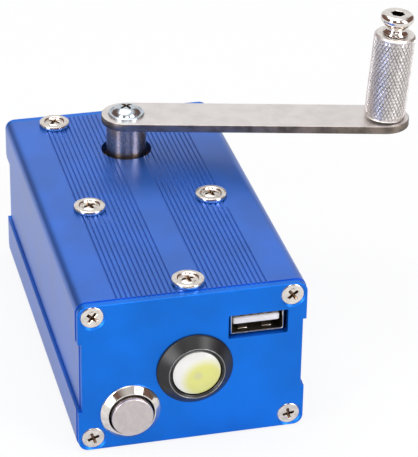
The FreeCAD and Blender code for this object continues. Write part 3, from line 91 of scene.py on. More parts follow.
class Value:
    """A number inside a material that takes part in Python arithmetic."""

    def __init__(self, graph: "Graph", socket: bpy.types.NodeSocket) -> None:
        """Wrap one output socket of the graph."""
        self.graph = graph
        self.socket = socket

    def __add__(self, other: "Value | float") -> "Value":
        """Sum."""
        return self.graph.math("ADD", self, other)

    def __radd__(self, other: float) -> "Value":
        """Sum with the number first."""
        return self.graph.math("ADD", other, self)

    def __sub__(self, other: "Value | float") -> "Value":
        """Difference."""
        return self.graph.math("SUBTRACT", self, other)

    def __rsub__(self, other: float) -> "Value":
        """Difference with the number first."""
        return self.graph.math("SUBTRACT", other, self)

    def __mul__(self, other: "Value | float") -> "Value":
        """Product."""
        return self.graph.math("MULTIPLY", self, other)

    def __rmul__(self, other: float) -> "Value":
        """Product with the number first."""
        return self.graph.math("MULTIPLY", other, self)

    def __truediv__(self, other: "Value | float") -> "Value":
        """Quotient."""
        return self.graph.math("DIVIDE", self, other)

    def across(self, other: "Value") -> "Value":
        """Straight distance over two legs at a right angle."""
        return self.graph.math("SQRT", self * self + other * other)

    def largest(self, other: "Value | float") -> "Value":
        """The larger of two values."""
        return self.graph.math("MAXIMUM", self, other)

    def within(self, centre: float, half: float) -> "Value":
        """1 near a centre value and 0 beyond half a width from it, with soft edges."""
        off = self.graph.math("ABSOLUTE", self - centre)
        return 1.0 - off.rise(0.8 * half, 1.2 * half)

    def rise(self, low: float, high: float) -> "Value":
        """Smooth step from 0 at the low value to 1 at the high one."""
        node = self.graph.add(
            "ShaderNodeMapRange",
            {"interpolation_type": "SMOOTHSTEP", "clamp": True},
            {"Value": self, "From Min": low, "From Max": high},
        )
        return Value(self.graph, node.outputs["Result"])


class Graph:
    """A tree of shader nodes, emptied and then filled step by step."""

    def __init__(self, tree: bpy.types.NodeTree) -> None:
        """Empty the tree.

        Args:
            tree: The node tree of a material or a world.
        """
        self.tree = tree
        self.tree.nodes.clear()

    def add(
        self, kind: str, settings: dict | None = None, inputs: dict | None = None
    ) -> bpy.types.Node:
        """Add a node, set it up and feed its sockets.

        Args:
            kind: The node's type.
            settings: Attributes that are set first.
            inputs: Values or links, by socket name or number.

        Returns:
            The new node.
        """
        node = self.tree.nodes.new(kind)
        for key, value in (settings or {}).items():
            setattr(node, key, value)
        for key, value in (inputs or {}).items():
            self.feed(node.inputs[key], value)
        return node

    def feed(self, socket: bpy.types.NodeSocket, value: object) -> None:
        """Link a value or a socket to an input, or set the input to a plain value."""
        if isinstance(value, Value):
            self.tree.links.new(value.socket, socket)
        elif isinstance(value, bpy.types.NodeSocket):
            self.tree.links.new(value, socket)
        elif isinstance(value, tuple) and socket.type == "RGBA" and len(value) == 3:
            socket.default_value = (*value, 1.0)
        else:
            socket.default_value = value

    def math(self, operation: str, *terms: "Value | float") -> Value:
        """One Math node on one or two terms."""
        inputs = dict(enumerate(terms))
        node = self.add("ShaderNodeMath", {"operation": operation}, inputs)
        return Value(self, node.outputs[0])

    def place(self) -> bpy.types.NodeSocket:
        """The point's place in the object's own frame."""
        return self.add("ShaderNodeTexCoord").outputs["Object"]

    def stretched(
        self, scale: Sequence[float], turn: float = 0.0, centre: Sequence[float] = (0, 0, 0)
    ) -> bpy.types.NodeSocket:
        """Place measured from a centre, turned about Z and scaled along each axis.

        Args:
            scale: Factor along X, Y and Z after the turn.
            turn: Angle about Z, in radians.
            centre: The point that becomes the origin.

        Returns:
            A vector socket.
        """
        moved = self.add(
            "ShaderNodeVectorMath", {"operation": "SUBTRACT"}, {0: self.place(), 1: tuple(centre)}
        )
        turned = self.add(
            "ShaderNodeMapping",
            {"vector_type": "POINT"},
            {"Vector": moved.outputs[0], "Rotation": (0.0, 0.0, -turn)},
        )
        sized = self.add(
            "ShaderNodeVectorMath",
            {"operation": "MULTIPLY"},
            {0: turned.outputs[0], 1: tuple(scale)},
        )
        return sized.outputs[0]

    def parts(self, vector: bpy.types.NodeSocket) -> list[Value]:
        """The three components of a vector."""
        node = self.add("ShaderNodeSeparateXYZ", {}, {0: vector})
        return [Value(self, output) for output in node.outputs]

    def off_centre(self, centre: Sequence[float]) -> tuple[Value, Value]:
        """How far to the right of a centre, and how far above it, a point of the front lies."""
        x, _, z = self.parts(self.stretched((1, 1, 1), 0.0, centre))
        return x, z

    def noise(
        self, vector: bpy.types.NodeSocket, scale: float = 1.0, detail: float = 3.0,
        roughness: float = 0.55,
    ) -> Value:
        """Soft noise about 0.5.

        Args:
            vector: Where it is read.
            scale: Features per unit of the vector.
            detail: Octaves.
            roughness: Weight of the finer octaves.

        Returns:
            The noise value.
        """
        inputs = {"Vector": vector, "Scale": scale, "Detail": detail, "Roughness": roughness}
        node = self.add("ShaderNodeTexNoise", {}, inputs)
        return Value(self, node.outputs[0])

    def mixed(self, share: "Value | float", first: object, second: object) -> bpy.types.NodeSocket:
        """Blend two colours.

        Args:
            share: How much of the second colour.
            first: A colour or a colour socket.
            second: A colour or a colour socket.

        Returns:
            The colour socket.
        """
        node = self.add("ShaderNodeMix", {"data_type": "RGBA"})
        named = {socket.identifier: socket for socket in node.inputs}
        self.feed(named["Factor_Float"], share)
        self.feed(named["A_Color"], first)
        self.feed(named["B_Color"], second)
        return [socket for socket in node.outputs if socket.type == "RGBA"][0]

    def bump(self, height: Value, depth: float) -> bpy.types.NodeSocket:
        """Normal of a surface that rises by the height times the depth, in metres."""
        inputs = {"Height": height, "Distance": depth, "Strength": 1.0}
        return self.add("ShaderNodeBump", {}, inputs).outputs["Normal"]


class Surface(Graph):
    """The nodes of one material, ending in a Principled shader."""

    def __init__(self, name: str) -> None:
        """Start an empty material with its shader and output.

        Args:
            name: The material's name.
        """
        self.material = bpy.data.materials.new(name)
        self.material.use_nodes = True
        super().__init__(self.material.node_tree)
        self.shader = self.add("ShaderNodeBsdfPrincipled")
        self.output = self.add(
            "ShaderNodeOutputMaterial", {}, {"Surface": self.shader.outputs["BSDF"]}
        )

    def shade(self, **values: object) -> None:
        """Set or link inputs of the shader, with spaces written as underscores."""
        for key, value in values.items():
            self.feed(self.shader.inputs[key.replace("_", " ")], value)


@dataclass(frozen=True)
class Finish:
    """A plain moulded or cast finish with a fine grain and faint darker patches."""

    name: str
    color: Color
    roughness: float = 0.45
    metallic: float = 0.0
    grain: float = 2500.0
    grain_depth: float = 0.000004
    patch_scale: float = 2500.0 / 12
    patch_detail: float = 3.0
    patch_edge: tuple[float, float] = (0.3, 0.7)
    darkest: float = 0.8
    uneven: float = 0.12

    def material(self) -> bpy.types.Material:
        """The finish's material, made once and then shared."""
        name = f"{self.name}_finish"
        found = bpy.data.materials.get(name)
        if found is None:
            graph = Surface(name)
            self.paint(graph)
            found = graph.material
        return found

    def toned(self, share: float) -> Color:
        """The colour at a share of its strength."""
        return tuple(min(1.0, share * part) for part in self.color)

    def patches(self, graph: Surface) -> Value:
        """Soft patches over the piece, about 0.5."""
        return graph.noise(graph.place(), self.patch_scale, self.patch_detail)

    def paint(self, graph: Surface) -> None:
        """Fill the graph with this finish.

        Args:
            graph: The new material's nodes.
        """
        fine = graph.noise(graph.place(), self.grain)
        patches = self.patches(graph)
        dark = self.toned(self.darkest)
        graph.shade(
            Base_Color=graph.mixed(patches.rise(*self.patch_edge), dark, self.color),
            Metallic=self.metallic,
            Roughness=self.roughness + self.uneven * (patches - 0.5),
            Normal=graph.bump(fine, self.grain_depth),
        )

    def dress(self, piece: bpy.types.Object) -> None:
        """Give the whole piece this finish through its material slots."""
        if not piece.material_slots:
            piece.data.materials.append(self.material())
        for slot in piece.material_slots:
            slot.material = self.material()


@dataclass(frozen=True)
class Anodised(Finish):
    """Dyed anodising on drawn aluminium: saturated, with a glassy skin and faint draw lines."""

    roughness: float = 0.4
    metallic: float = 0.8
    patch_scale: float = 60.0
    darkest: float = 0.82
    uneven: float = 0.08
    skin: float = 1.0
    skin_roughness: float = 0.3
    skin_index: float = 1.5
    lines: Along = Along.Y
    line_pitch: float = 0.00025
    line_length: float = 0.03
    line_depth: float = 0.0000012
    line_uneven: float = 0.06
    dust_scale: float = 9000.0
    dust_share: float = 0.6

    def paint(self, graph: Surface) -> None:
        """Fill the graph with this finish."""
        scale = [1 / self.line_pitch] * 3
        scale[self.lines.value] = 1 / self.line_length
        drawn = graph.noise(graph.stretched(scale), 1.0, 2.0)
        dust = graph.noise(graph.place(), self.dust_scale, 2.0)
        patches = self.patches(graph)
        dark = self.toned(self.darkest)
        rough = self.roughness + self.uneven * (patches - 0.5)
        graph.shade(
            Base_Color=graph.mixed(patches.rise(*self.patch_edge), dark, self.color),
            Metallic=self.metallic,
            Roughness=rough + self.line_uneven * (drawn - 0.5),
            Coat_Weight=self.skin,
            Coat_Roughness=self.skin_roughness,
            Coat_IOR=self.skin_index,
            Normal=graph.bump(drawn + self.dust_share * dust, self.line_depth),
        )


@dataclass(frozen=True)
class BrightMetal(Finish):
    """Plated or polished metal with hairline scratches and faint smudges."""

    roughness: float = 0.12
    metallic: float = 1.0
    patch_scale: float = 700.0
    patch_detail: float = 4.0
    patch_edge: tuple[float, float] = (0.35, 0.75)
    darkest: float = 0.78
    haze: float = 0.16
    haze_edge: tuple[float, float] = (0.45, 0.8)
    hairs: tuple[float, float, float] = (9000.0, 500.0, 2500.0)
    hair_turn: float = 0.6
    hair_depth: float = 0.000001

    def paint(self, graph: Surface) -> None:
        """Fill the graph with this finish."""
        hairs = graph.noise(graph.stretched(self.hairs, self.hair_turn), 1.0, 3.0)
        smudges = self.patches(graph)
        dark = self.toned(self.darkest)
        graph.shade(
            Base_Color=graph.mixed(smudges.rise(*self.patch_edge), self.color, dark),
            Metallic=self.metallic,
            Roughness=self.roughness + self.haze * smudges.rise(*self.haze_edge),
            Normal=graph.bump(hairs, self.hair_depth),
        )


@dataclass(frozen=True)
class LinedMetal(Finish):
    """Metal with fine parallel or ring lines left by a tool.

    The lines follow the two axes that are stretched, so a turned piece has rings round the
    axis named by across, and a rolled bar has lines along its length.
    """

    roughness: float = 0.25
    metallic: float = 1.0
    patch_scale: float = 220.0
    patch_detail: float = 4.0
    patch_edge: tuple[float, float] = (0.35, 0.7)
    patchiness: float = 0.28
    across: Along = Along.Z
    turn: float = 0.0
    pitch: float = 0.00012
    length: float = 0.02
    line_depth: float = 0.000002
    line_uneven: float = 0.1
    brushed: float = 0.0
    brushed_turn: float = 0.25

    def paint(self, graph: Surface) -> None:
        """Fill the graph with this finish."""
        scale = [1 / self.length] * 3
        scale[self.across.value] = 1 / self.pitch
        lines = graph.noise(graph.stretched(scale, self.turn), 1.0, 4.0, 0.7)
        patches = self.patches(graph)
        dark = self.toned(1 - self.patchiness)
        rough = self.roughness + self.patchiness / 2 * (patches - 0.5)
        graph.shade(
            Base_Color=graph.mixed(patches.rise(*self.patch_edge), self.color, dark),
            Metallic=self.metallic,
            Roughness=rough + self.line_uneven * (lines - 0.5),
            Anisotropic=self.brushed,
            Anisotropic_Rotation=self.brushed_turn,
            Normal=graph.bump(lines, self.line_depth),
        )


@dataclass(frozen=True)
class FacedMetal(Finish):
    """A face turned on a lathe: rings round a centre on the front of the case."""

    roughness: float = 0.32
    metallic: float = 1.0
    patch_scale: float = 900.0
    patch_edge: tuple[float, float] = (0.3, 0.8)
    darkest: float = 0.88
    uneven: float = 0.1
    centre: tuple[float, float, float] = (0.0, 0.0, 0.0)
    ring_pitch: float = 0.00016
    ring_depth: float = 0.0000015

    def paint(self, graph: Surface) -> None:
        """Fill the graph with this finish."""
        right, above = graph.off_centre(self.centre)
        turns = right.across(above) * (1 / self.ring_pitch)
        spot = graph.add("ShaderNodeCombineXYZ", {}, {0: turns})
        rings = graph.noise(spot.outputs[0], 1.0, 3.0)
        patches = self.patches(graph)
        dark = self.toned(self.darkest)
        graph.shade(
            Base_Color=graph.mixed(patches.rise(*self.patch_edge), self.color, dark),
            Metallic=self.metallic,
            Roughness=self.roughness + self.uneven * (patches - 0.5),
            Normal=graph.bump(rings, self.ring_depth),
        )


@dataclass(frozen=True)
class PhosphorDome(Finish):
    """Glossy dome that shows the phosphor under it magnified, with a fainter spot for the chip and
    a painted highlight: pale towards the upper left.
    """

    roughness: float = 0.3
    patch_scale: float = 260.0
    uneven: float = 0.1
    centre: tuple[float, float, float] = (0.0, 0.0, 0.0)
    chip: Color = (0.56, 0.55, 0.24)
    chip_edge: tuple[float, float] = (0.45 * MM, 1.53 * MM)
    # Colour of the painted highlight, spread over the dome's upper left.
    pale: Color = (0.74, 0.73, 0.71)
    painted_highlight_edge: tuple[float, float] = (3.3 * MM, 6.2 * MM)
    lean: float = 1.5 * MM
    gloss: float = 0.06
    ripple: float = 0.00002

    def paint(self, graph: Surface) -> None:
        """Fill the graph with this finish."""
        right, above = graph.off_centre(self.centre)
        cloudy = self.patches(graph)
        chip = graph.mixed(right.across(above).rise(*self.chip_edge), self.chip, self.color)
        # Pale share grows away from a point below and right of the centre: painted highlight on the
        # dome's upper left.
        painted_highlight = (right - self.lean).across(above + self.lean).rise(*self.painted_highlight_edge)
        graph.shade(
            Base_Color=graph.mixed(painted_highlight, chip, self.pale),
            Roughness=self.roughness + self.uneven * (cloudy - 0.5),
            Coat_Weight=1.0,
            Coat_Roughness=self.gloss,
            Normal=graph.bump(cloudy, self.ripple),
        )


@dataclass(frozen=True)
class Phosphor(Finish):
    """Yellow phosphor that fills a lamp's reflector, paler at its rim, with a darker chip."""

    grain: float = 5000.0
    grain_depth: float = 0.00001
    centre: tuple[float, float, float] = (0.0, 0.0, 0.0)
    chip: Color = (0.50, 0.50, 0.16)
    chip_edge: tuple[float, float] = (0.72 * MM, 1.92 * MM)
    rim: Color = (0.95, 0.95, 0.62)
    rim_edge: tuple[float, float] = (4.0 * MM, 5.0 * MM)

    def paint(self, graph: Surface) -> None:
        """Fill the graph with this finish."""
        right, above = graph.off_centre(self.centre)
        radius = right.across(above)
        grain = graph.noise(graph.place(), self.grain, 2.0)
        inner = graph.mixed(radius.rise(*self.chip_edge), self.chip, self.color)
        graph.shade(
            Base_Color=graph.mixed(radius.rise(*self.rim_edge), inner, self.rim),
            Roughness=self.roughness,
            Normal=graph.bump(grain, self.grain_depth),
        )


@dataclass(frozen=True)
class BoardMask(Finish):
    """Green lacquer over copper tracks on a circuit board."""

    roughness: float = 0.35
    track_scale: float = 700.0
    track_edge: tuple[float, float] = (0.3, 0.36)
    track_depth: float = 0.00003
    track_tone: float = 1.7
    lacquer: float = 0.6

    def paint(self, graph: Surface) -> None:
        """Fill the graph with this finish."""
        spot = graph.stretched((self.track_scale, self.track_scale, 0.0))
        cells = graph.add(
            "ShaderNodeTexVoronoi", {"distance": "CHEBYCHEV", "feature": "F1"}, {"Vector": spot}
        )
        track = Value(graph, cells.outputs["Distance"]).rise(*self.track_edge)
        graph.shade(
            Base_Color=graph.mixed(track, self.toned(self.track_tone), self.color),
            Roughness=self.roughness,
            Coat_Weight=self.lacquer,
            Normal=graph.bump(1.0 - track, self.track_depth),
        )


@dataclass(frozen=True)
class Layered(Finish):
    """Sheets or windings stacked along Z, with dark lines between them."""

    patch_edge: tuple[float, float] = (0.1, 0.6)
    darkest: float = 0.45
    layer: float = 0.35 * MM
    layer_depth: float = 0.00004
    wobble: float = 0.4

    def paint(self, graph: Surface) -> None:
        """Fill the graph with this finish."""
        wave = graph.add(
            "ShaderNodeTexWave",
            {"wave_type": "BANDS", "bands_direction": "Z", "wave_profile": "SIN"},
            {"Vector": graph.place(), "Scale": 0.314 / self.layer, "Distortion": self.wobble},
        )
        bands = Value(graph, wave.outputs[1])
        dark = self.toned(self.darkest)
        graph.shade(
            Base_Color=graph.mixed(bands.rise(*self.patch_edge), dark, self.color),
            Metallic=self.metallic,
            Roughness=self.roughness,
            Normal=graph.bump(bands, self.layer_depth),
        )


# Finishes of this object
BLUE_SHELL = Anodised("blue_anodised_shell", (0.001, 0.14, 0.68), skin=0.7)
BLUE_PLATE = Anodised("blue_anodised_plate", (0.0, 0.185, 0.82), lines=Along.X, skin=0.14)
NICKEL = BrightMetal("nickel_plate", (0.88, 0.82, 0.76), 0.16)
ZINC = BrightMetal("zinc_plate", (0.68, 0.76, 0.83), 0.17)
POLISHED = BrightMetal("polished_steel", (0.90, 0.85, 0.80), 0.06)
KNURLED = BrightMetal("knurled_steel", (0.92, 0.88, 0.84), 0.38)
# Dark brown that stands in for shade: painted shade in the screws' cross recesses and on the
# socket's contacts.
RECESS_PAINTED_SHADE = BrightMetal("screw_recess_painted_shade", (0.26, 0.17, 0.11), 0.3)
# Near black that stands in for shade: painted shade in the pin's hexagon socket.
HEX_SOCKET_PAINTED_SHADE = BrightMetal("hex_socket_painted_shade", (0.03, 0.025, 0.02), 0.4)
SOCKET_NICKEL = BrightMetal("socket_nickel", (0.78, 0.73, 0.65), 0.22)
# Darker nickel for the inside of the socket shell: painted shade.
SOCKET_INSIDE_PAINTED_SHADE = BrightMetal("socket_inside_painted_shade", (0.20, 0.17, 0.13), 0.35)
LIP_METAL = BrightMetal("bare_lip_aluminium", (0.42, 0.42, 0.44), 0.28)
TURNED = LinedMetal("turned_steel", (0.58, 0.42, 0.30), 0.28, across=Along.Z, brushed=0.8)
ROLLED = LinedMetal(
    "rolled_steel", (0.80, 0.755, 0.74), 0.42, across=Along.Y, turn=ARM_TURN,
    pitch=0.0003, length=0.03, line_depth=0.0000008, patchiness=0.1,
)
SHEARED = LinedMetal("sheared_steel", (0.29, 0.24, 0.20), 0.42, across=Along.Z, patchiness=0.6)
# Darker steel for the knurl's grooves: painted shade.
KNURL_GROOVE_PAINTED_SHADE = BrightMetal("knurl_groove_painted_shade", (0.64, 0.61, 0.60), 0.4)
CUT_GEAR = LinedMetal("cut_gear_steel", (0.55, 0.55, 0.57), 0.3, across=Along.Z)
MILLED = LinedMetal("milled_aluminium", (0.68, 0.69, 0.71), 0.36, across=Along.X, pitch=0.0003)
CAN_STEEL = LinedMetal("zinc_sheet", (0.62, 0.62, 0.63), 0.3, across=Along.Z, pitch=0.0003)
# Bronze of the shaft bushes, darker than oily bronze alone: its own tone plus painted shade where
# it shows in the gap round the shaft.
BRONZE_AND_PAINTED_SHADE = LinedMetal("sintered_bronze_and_painted_shade", (0.16, 0.10, 0.05), 0.45, across=Along.Z)
BLACK_ALUMINIUM = Anodised(
    "black_anodised", (0.004, 0.0035, 0.004), 0.35, metallic=0.0, skin=0.1, lines=Along.X,
)
WHITE_PLASTIC = Finish("white_plastic", (0.83, 0.81, 0.84), 0.3)
BLACK_PLASTIC = Finish("black_plastic", (0.025, 0.025, 0.028), 0.5)
SLEEVE = Finish("capacitor_sleeve", (0.04, 0.05, 0.09), 0.35)
MAGNET = Finish("ground_magnet", (0.35, 0.35, 0.38), 0.4, 0.8)
BOARD = BoardMask("board_lacquer", (0.02, 0.16, 0.07))
LAMINATION = Layered("laminated_iron", (0.32, 0.32, 0.34), 0.45, 0.9)
COPPER = Layered("copper_winding", (0.70, 0.32, 0.14), 0.32, 0.9, layer=0.25 * MM)


# Bench work


class Bench:
    """Hand work on meshes: starting, shaping, cutting and finishing a piece."""

    @staticmethod
    def clear() -> None:
        """Put everything down: object mode and nothing selected."""
        if bpy.context.object and bpy.context.object.mode != "OBJECT":
            bpy.ops.object.mode_set(mode="OBJECT")
        bpy.ops.object.select_all(action="DESELECT")

    @staticmethod
    def take(piece: bpy.types.Object) -> None:
        """Hold one piece alone."""
        Bench.clear()
        piece.select_set(True)
        bpy.context.view_layer.objects.active = piece

    @staticmethod
    @contextmanager
    def editing(piece: bpy.types.Object, item: Item = Item.POINT) -> Iterator[None]:
        """Edit mode on one piece, selecting points, edges or faces."""
        Bench.take(piece)
        bpy.ops.object.mode_set(mode="EDIT")
        bpy.ops.mesh.select_mode(type=item.value)
        yield
        bpy.ops.object.mode_set(mode="OBJECT")

    @staticmethod
    def pick(piece: bpy.types.Object, item: Item, test: Callable[..., bool]) -> None:
        """Select what passes a test, and nothing else, in object mode.

        Args:
            piece: The piece.
            item: Whether points, edges or faces are tested.
            test: Takes one point, edge or face of the mesh.
        """
        mesh = piece.data
        groups = {Item.POINT: mesh.vertices, Item.EDGE: mesh.edges, Item.FACE: mesh.polygons}
        for group in groups.values():
            for each in group:
                each.select = False
        for each in groups[item]:
            each.select = test(each)

    @staticmethod
    def bevel(
        piece: bpy.types.Object, width: float, segments: int,
        test: Callable[[Vector, Vector], bool],
    ) -> None:
        """Bevel the edges that pass a test.

        Args:
            piece: The piece.
            width: Bevel width in metres.
            segments: Facets across the bevel.
            test: Takes the places of an edge's two ends.
        """
        points = piece.data.vertices
        Bench.pick(piece, Item.EDGE, lambda edge: test(*(points[end].co for end in edge.vertices)))
        with Bench.editing(piece, Item.EDGE):
            bpy.ops.mesh.bevel(offset=width, segments=segments, affect="EDGES")

    @staticmethod
    def block(name: str, centre: Vector, size: Vector) -> bpy.types.Object:
        """Start a piece from a block of a size round a centre, in metres."""
        Bench.clear()
        bpy.ops.mesh.primitive_cube_add(size=1.0, location=centre)
        piece = bpy.context.object
        piece.name = name
        piece.scale = size
        Bench.settle(piece)
        return piece

    @staticmethod
    def trace(name: str, points: Sequence[Vector]) -> bpy.types.Object:
        """Draw a run of edges through points, from one vertex on.

        Args:
            name: The new piece's name.
            points: The corners in order.

        Returns:
            The piece, which holds edges alone.
        """
        Bench.clear()
        bpy.ops.mesh.primitive_plane_add(size=MM, location=points[0])
        piece = bpy.context.object
        piece.name = name
        with Bench.editing(piece):
            bpy.ops.mesh.select_all(action="SELECT")
            bpy.ops.mesh.merge(type="CENTER")
            for here, there in zip(points, points[1:]):
                bpy.ops.mesh.extrude_region_move(
                    TRANSFORM_OT_translate={"value": Vector(there) - Vector(here)}
                )
        Bench.settle(piece)
        return piece

    @staticmethod
    def spun(name: str, corners: Sequence[Corner], steps: int = 72) -> bpy.types.Object:
        """Turn a half section round the Z axis.

        Args:
            name: The new piece's name.
            corners: Radius and height of each corner, in millimetres. A run that doesn't
                start and end on the axis is closed on itself.
            steps: Facets round the turn.

        Returns:
            The turned piece, standing on the Z axis.
        """
        run = list(corners)
        if run[0][0] > 0 or run[-1][0] > 0:
            run.append(run[0])
        piece = Bench.trace(name, [Vector((r * MM, 0, z * MM)) for r, z in run])
        with Bench.editing(piece):
            bpy.ops.mesh.select_all(action="SELECT")
            bpy.ops.mesh.spin(steps=steps, angle=FULL_TURN, center=(0, 0, 0), axis=(0, 0, 1))
            bpy.ops.mesh.select_all(action="SELECT")
            bpy.ops.mesh.remove_doubles(threshold=TINY)
            bpy.ops.mesh.dissolve_degenerate(threshold=TINY)
            bpy.ops.mesh.normals_make_consistent(inside=False)
        return piece

    @staticmethod
    def pulled(name: str, corners: Sequence[Vector], pull: Vector) -> bpy.types.Object:
        """Close an outline and pull it into a solid.

        Args:
            name: The new piece's name.
            corners: The outline's corners in order, in metres.
            pull: How far and which way the face is extruded, in metres.

        Returns:
            The solid.
        """
        piece = Bench.trace(name, corners)
        with Bench.editing(piece):
            bpy.ops.mesh.select_all(action="SELECT")
            bpy.ops.mesh.edge_face_add()
            bpy.ops.mesh.select_all(action="SELECT")
            bpy.ops.mesh.extrude_region_move(TRANSFORM_OT_translate={"value": pull})
            bpy.ops.mesh.select_all(action="SELECT")
            bpy.ops.mesh.normals_make_consistent(inside=False)
        return piece

    @staticmethod
    def settle(piece: bpy.types.Object) -> None:
        """Move the piece's place, turn and scale into its mesh."""
        Bench.take(piece)
        bpy.ops.object.transform_apply(location=True, rotation=True, scale=True)

    @staticmethod
    def stand(piece: bpy.types.Object, matrix: Matrix) -> None:
        """Set the piece at a place and turn, and keep that in its mesh."""
        piece.matrix_world = matrix
        bpy.context.view_layer.update()
        Bench.settle(piece)

    @staticmethod
    def apply(piece: bpy.types.Object, kind: str, **settings: object) -> None:
        """Add one modifier, set it and apply it.

        Args:
            piece: The piece to change.
            kind: The modifier's type.
            **settings: Its attributes.
        """
        Bench.take(piece)
        modifier = piece.modifiers.new(kind.lower(), kind)
        for key, value in settings.items():
            setattr(modifier, key, value)
        bpy.ops.object.modifier_apply(modifier=modifier.name)

    @staticmethod
    def cut(piece: bpy.types.Object, tool: bpy.types.Object) -> None:
        """Cut the tool's shape out of the piece, which takes on the tool's finish there."""
        Bench.apply(
            piece, "BOOLEAN", operation="DIFFERENCE", solver="EXACT", object=tool,
            material_mode="TRANSFER" if tool.data.materials else "INDEX",
        )
        bpy.data.objects.remove(tool)

    @staticmethod
    def drill(
        piece: bpy.types.Object, section: Sequence[Corner], place: Matrix, steps: int = 48
    ) -> None:
        """Sink a round hole.

        Args:
            piece: The piece to drill.
            section: Radius and height of the hole's wall in millimetres, from the surface down.
            place: Where the hole starts, its local Z pointing out of the surface.
            steps: Facets round the hole.
        """
        wide, _ = section[0]
        _, deep = section[-1]
        tool = Bench.spun("drill", [(0, CLEAR), (wide, CLEAR), *section, (0, deep)], steps)
        Bench.stand(tool, place)
        Bench.cut(piece, tool)

    @staticmethod
    def soften(
        piece: bpy.types.Object, width: float, segments: int = 2, angle: float = 30.0
    ) -> None:
        """Bevel the sharp edges and smooth the shading without tilting the flats.

        Args:
            piece: The piece to finish.
            width: Bevel width in metres.
            segments: Facets across the bevel.
            angle: Edges sharper than this, in degrees, are bevelled.
        """
        Bench.apply(
            piece, "BEVEL", width=width, segments=segments, limit_method="ANGLE",
            angle_limit=math.radians(angle), use_clamp_overlap=False,
        )
        Bench.smooth(piece)

    @staticmethod
    def smooth(piece: bpy.types.Object, angle: float = 40.0) -> None:
        """Smooth shading that keeps sharp edges and flat faces."""
        Bench.take(piece)
        bpy.ops.object.shade_smooth_by_angle(angle=math.radians(angle))
        Bench.apply(piece, "WEIGHTED_NORMAL", keep_sharp=True, weight=60)

    @staticmethod
    def joined(name: str, pieces: Sequence[bpy.types.Object]) -> bpy.types.Object:
        """Join pieces into one object under a new name."""
        Bench.clear()
        for piece in pieces:
            piece.select_set(True)
        bpy.context.view_layer.objects.active = pieces[0]
        bpy.ops.object.join()
        pieces[0].name = name
        return pieces[0]

    @staticmethod
    def twin(name: str, source: bpy.types.Object) -> bpy.types.Object:
        """A copy with its own mesh."""
        copy = bpy.data.objects.new(name, source.data.copy())
        bpy.context.scene.collection.objects.link(copy)
        return copy

    @staticmethod
    def from_node(name: str, node: str) -> bpy.types.Object:
        """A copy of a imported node, with its loose triangles merged into whole faces."""
        piece = Bench.twin(name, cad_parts[node])
        with Bench.editing(piece):
            bpy.ops.mesh.select_all(action="SELECT")
            bpy.ops.mesh.remove_doubles(threshold=TINY)
            bpy.ops.mesh.dissolve_limited(angle_limit=math.radians(0.5))
        return piece


def dress_apart(
    piece: bpy.types.Object, rest: Finish, picked: Finish,
    test: Callable[[bpy.types.MeshPolygon], bool],
) -> None:
    """Give the faces that pass a test one finish and the rest another."""
    for finish in (rest, picked):
        piece.data.materials.append(finish.material())
    for face in piece.data.polygons:
        face.material_index = int(test(face))


def hand_over(
    piece: bpy.types.Object, body: Body, finish: Finish | None, slot: str, *nodes: str
) -> None:
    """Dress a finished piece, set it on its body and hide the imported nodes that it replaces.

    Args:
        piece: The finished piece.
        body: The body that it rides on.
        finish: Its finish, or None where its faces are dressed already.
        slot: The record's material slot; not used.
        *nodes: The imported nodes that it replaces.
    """
    if finish is not None:
        finish.dress(piece)
    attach(piece, body.value)
    if nodes:
        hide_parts(*nodes)
    LOG.info("%s: %d faces", piece.name, len(piece.data.polygons))


def turn_out(
    name: str, run: Sequence[Corner], place: Matrix, body: Body, finish: Finish, slot: str,
    *nodes: str, steps: int = 96, sharp: float = 40.0,
) -> None:
    """Turn a round piece, stand it in its place, smooth it and hand it over.

    Args:
        name: The new piece's name.
        run: Its half section, in millimetres.
        place: Where its axis stands.
        body: The body that it rides on.
        finish: Its finish.
        slot: The record's material slot.
        *nodes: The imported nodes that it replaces.
        steps: Facets round the turn.
        sharp: Edges sharper than this, in degrees, stay sharp.
    """
    piece = Bench.spun(name, run, steps)
    Bench.stand(piece, place)
    Bench.smooth(piece, sharp)
    hand_over(piece, body, finish, slot, *nodes)


# Places and sections


def middle(node: str) -> Vector:
    """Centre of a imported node's box."""
    low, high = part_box(node)
    return (low + high) / 2


def out_of_plate(x: float, y: float, z: float, way: int = 1) -> Matrix:
    """A place on an end plate, its Z pointing out: way is 1 for the front, -1 for the back."""
    return Matrix.Translation((x, y, z)) @ Matrix.Rotation(way * math.pi / 2, 4, "X")


def thread(root: float, crest: float, pitch: float, first: float, last: float) -> list[Corner]:
    """Zigzag section of a thread, drawn as rings.

    Args:
        root: Radius between the ridges, in millimetres.
        crest: Radius of the ridges.
        pitch: From one ridge to the next.
        first: Height of the first root.
        last: Height that every root stays above.

    Returns:
        Corners from the top down.
    """
    run = []
    level = first
    while level > last:
        run += [(root, level), (crest, level - pitch / 2)]
        level -= pitch
    return run


def arc(
    centre: Corner, radius: float, start: float, end: float, steps: int = 8
) -> list[Corner]:
    """Points along an arc.

    Args:
        centre: Its centre.
        radius: Its radius.
        start: Angle of the first point, in degrees.
        end: Angle of the last point, in degrees.
        steps: Chords between them.

    Returns:
        The points in order, one more than there are chords.
    """
    turns = [math.radians(start + (end - start) * step / steps) for step in range(steps + 1)]
    return [
        (centre[0] + radius * math.cos(turn), centre[1] + radius * math.sin(turn))
        for turn in turns
    ]


# Case


